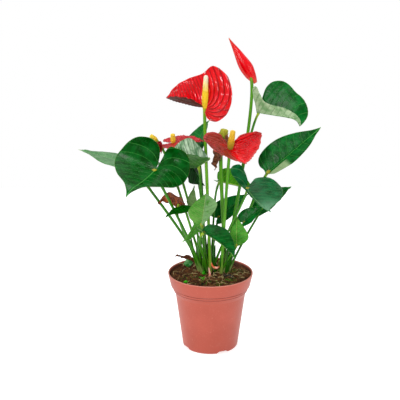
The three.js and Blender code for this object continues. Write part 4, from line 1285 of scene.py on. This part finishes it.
WAXY_GREENS = (2, 72, 22), (12, 106, 40), (70, 146, 66)
DEEP_LEAF = (leaf_upper("waxy leaf", *WAXY_GREENS),
             leaf_under("leaf underside", (78, 128, 54), (54, 104, 34), (140, 170, 90)))
YOUNG_LEAF = (leaf_upper("young leaf", (50, 124, 30), (80, 148, 50), (150, 185, 95), 0.4),
              leaf_under("young leaf underside", (126, 165, 96), (100, 148, 72), (165, 190, 120)))
LEAF_LOOKS = {
    "front_left": (leaf_upper("darkest leaf", (0, 62, 12), (4, 90, 28), (70, 146, 66), 0.26, 0.08),
                   DEEP_LEAF[1]),
    "dark_left": (leaf_upper("shaded leaf", (0, 44, 10), (2, 64, 16), (40, 100, 40), 0.35, 0.05),
                  leaf_under("shaded underside", (34, 84, 24), (16, 60, 10), (80, 120, 50))),
    "left_grey": (leaf_upper("grey-green leaf", (92, 128, 70), (118, 150, 96), (150, 176, 120), 0.4),
                  YOUNG_LEAF[1]),
    "left_low": (leaf_upper("small dark leaf", (0, 70, 6), (10, 96, 14), (60, 136, 40), 0.4, 0.02),
                 DEEP_LEAF[1]),
    # Its pale grey-green colours are a painted sheen over the green.
    "far_left": (leaf_upper("silvery leaf", (64, 116, 66), (98, 142, 96), (140, 172, 130)), DEEP_LEAF[1]),
    "top_right": (DEEP_LEAF[0], leaf_under("pale underside", (170, 192, 152), (108, 150, 98), (92, 140, 76))),
    # Its near-white mottle is a painted glare.
    "back_left": (leaf_upper("glaring leaf", (40, 112, 52), (198, 218, 190), (0, 56, 14), 0.3, 0.12, 0.16),
                  leaf_under("olive underside", (46, 106, 14), (26, 84, 8), (108, 150, 60))),
    # Its pale grey tip is a painted sheen.
    "mid_right": (leaf_upper("bluish leaf", (4, 74, 34), (20, 104, 56), (96, 150, 90), 0.28, 0.12,
                             tip=(96, 142, 110)), DEEP_LEAF[1]),
    "right": (leaf_upper("leaf with a folded heel", *WAXY_GREENS, heel=(146, 172, 124)), DEEP_LEAF[1]),
    "behind_stems": (leaf_upper("grass-green leaf", (36, 112, 12), (64, 140, 24), (140, 180, 60)),
                     leaf_under("grass-green underside", (76, 148, 26), (52, 126, 14), (150, 190, 60))),
    "centre_left": (leaf_upper("leaf opened askew", (66, 128, 44), (96, 148, 66), (160, 190, 110), 0.4,
                               right=(118, 158, 104)), YOUNG_LEAF[1]),
}
# Its dark vein colour is painted shade in the vein valleys.
RED_SPATHE = (spathe_upper("lacquer red spathe", (206, 0, 16), (230, 10, 30), (120, 0, 8), 0.6,
                           roughness=0.09), spathe_under("spathe underside", (70, 34, 6), (88, 14, 8)))
# Its dark vein colour is painted shade in the vein valleys.
MIDDLE_SPATHE = (spathe_upper("two-tone spathe", (200, 0, 16), (228, 12, 28), (104, 4, 8), 0.16,
                              dull=(136, 50, 36), margin=(204, 76, 72)),
                 spathe_under("two-tone underside", (150, 40, 36), (176, 70, 60)))
LEFT_SPATHE = (spathe_upper("pink-red spathe", (160, 8, 24), (190, 36, 48), (216, 100, 96), 0.15,
                            roughness=0.25), RED_SPATHE[1])
WITHERED = withered_skin("withered spathe", (152, 74, 10), (66, 20, 0))
OLD_SPATHE = withered_skin("browned spathe", (150, 96, 66), (84, 40, 24))
SHEATH_SKIN = withered_skin("dry sheath", (120, 66, 36), (60, 28, 16))
STALK_SKIN = stem_skin("leaf stalk", (128, 142, 82), (56, 122, 16), (150, 178, 44))
FLOWER_STALK = stem_skin("flower stalk", (120, 140, 66), (80, 146, 22), (140, 176, 36))
OLIVE_STALK = stem_skin("ripening flower stalk", (150, 160, 70), (96, 156, 26), (168, 178, 36))
SHOOT_SKIN = stem_skin("young shoot", (92, 112, 56), (30, 88, 12), (84, 140, 30))
CROWN_SKIN = stem_skin("short stem", (112, 84, 44), (96, 124, 44), (130, 158, 60))
YELLOW_SPADIX = spadix_skin("cream-tipped spadix", [(0.0, (236, 200, 20)), (0.5, (252, 220, 40)),
                                                    (0.72, (252, 236, 150)), (1.0, (253, 250, 238))])
GOLDEN_SPADIX = spadix_skin("ripening spadix", [(0.0, (140, 128, 20)), (0.3, (200, 170, 24)),
                                                (0.6, (246, 206, 40)), (1.0, (250, 216, 70))])
SMALL_SPADIX = spadix_skin("small yellow spadix", [(0.0, (240, 192, 20)), (1.0, (255, 228, 70))])
GREEN_SPADIX = spadix_skin("green spadix", [(0.0, (110, 130, 20)), (0.5, (160, 170, 30)),
                                            (1.0, (190, 190, 50))])
BUD_SKIN = bud_skin()
POT_PLASTIC = pot_plastic()
PEAT = peat()
FIBRE = litter("peat fibres", (136, 92, 54), (54, 28, 14))
PALE_ROOT = litter("pale roots", (192, 176, 124), (116, 92, 52))
BARK = litter("bark crumbs", (92, 56, 32), (24, 14, 8))
MOSS = litter("moss", (64, 118, 20), (26, 62, 12), 0.6)
SPROUT = litter("seedlings", (62, 180, 16), (40, 140, 10), 0.45)
ROUND_LEAF = litter("round seedling leaf", (104, 156, 100), (26, 104, 34), 0.4)
DARK_BARK = litter("dark bark", (58, 52, 46), (30, 24, 20))
PINK_SHEATH = litter("pink sheath", (232, 176, 160), (206, 128, 104), 0.5)
CURLED_SHEATH = litter("curled sheath", (246, 200, 176), (222, 96, 50), 0.5)
FLOWER_LOOKS = {
    "open": (RED_SPATHE, YELLOW_SPADIX, OLIVE_STALK),
    "middle": (MIDDLE_SPATHE, GOLDEN_SPADIX, FLOWER_STALK),
    "old_green": ((OLD_SPATHE, OLD_SPATHE), GREEN_SPADIX, FLOWER_STALK),
    "left": (LEFT_SPATHE, SMALL_SPADIX, FLOWER_STALK),
    "far_left": (LEFT_SPATHE, SMALL_SPADIX, FLOWER_STALK),
}
FLORETS = floret_tree()
STREWN = scatter_tree()

add_pot()
add_soil()
for crown in CROWNS:
    add_crown(crown)
for leaf in LEAVES:
    add_leaf(leaf, *LEAF_LOOKS.get(leaf.name, YOUNG_LEAF if leaf.young else DEEP_LEAF))
for flower in FLOWERS:
    add_flower(flower, *FLOWER_LOOKS[flower.name])
add_withered_spathe()
add_bud()
add_dry_sheath()
add_shoots()
add_scraps()
add_studio()
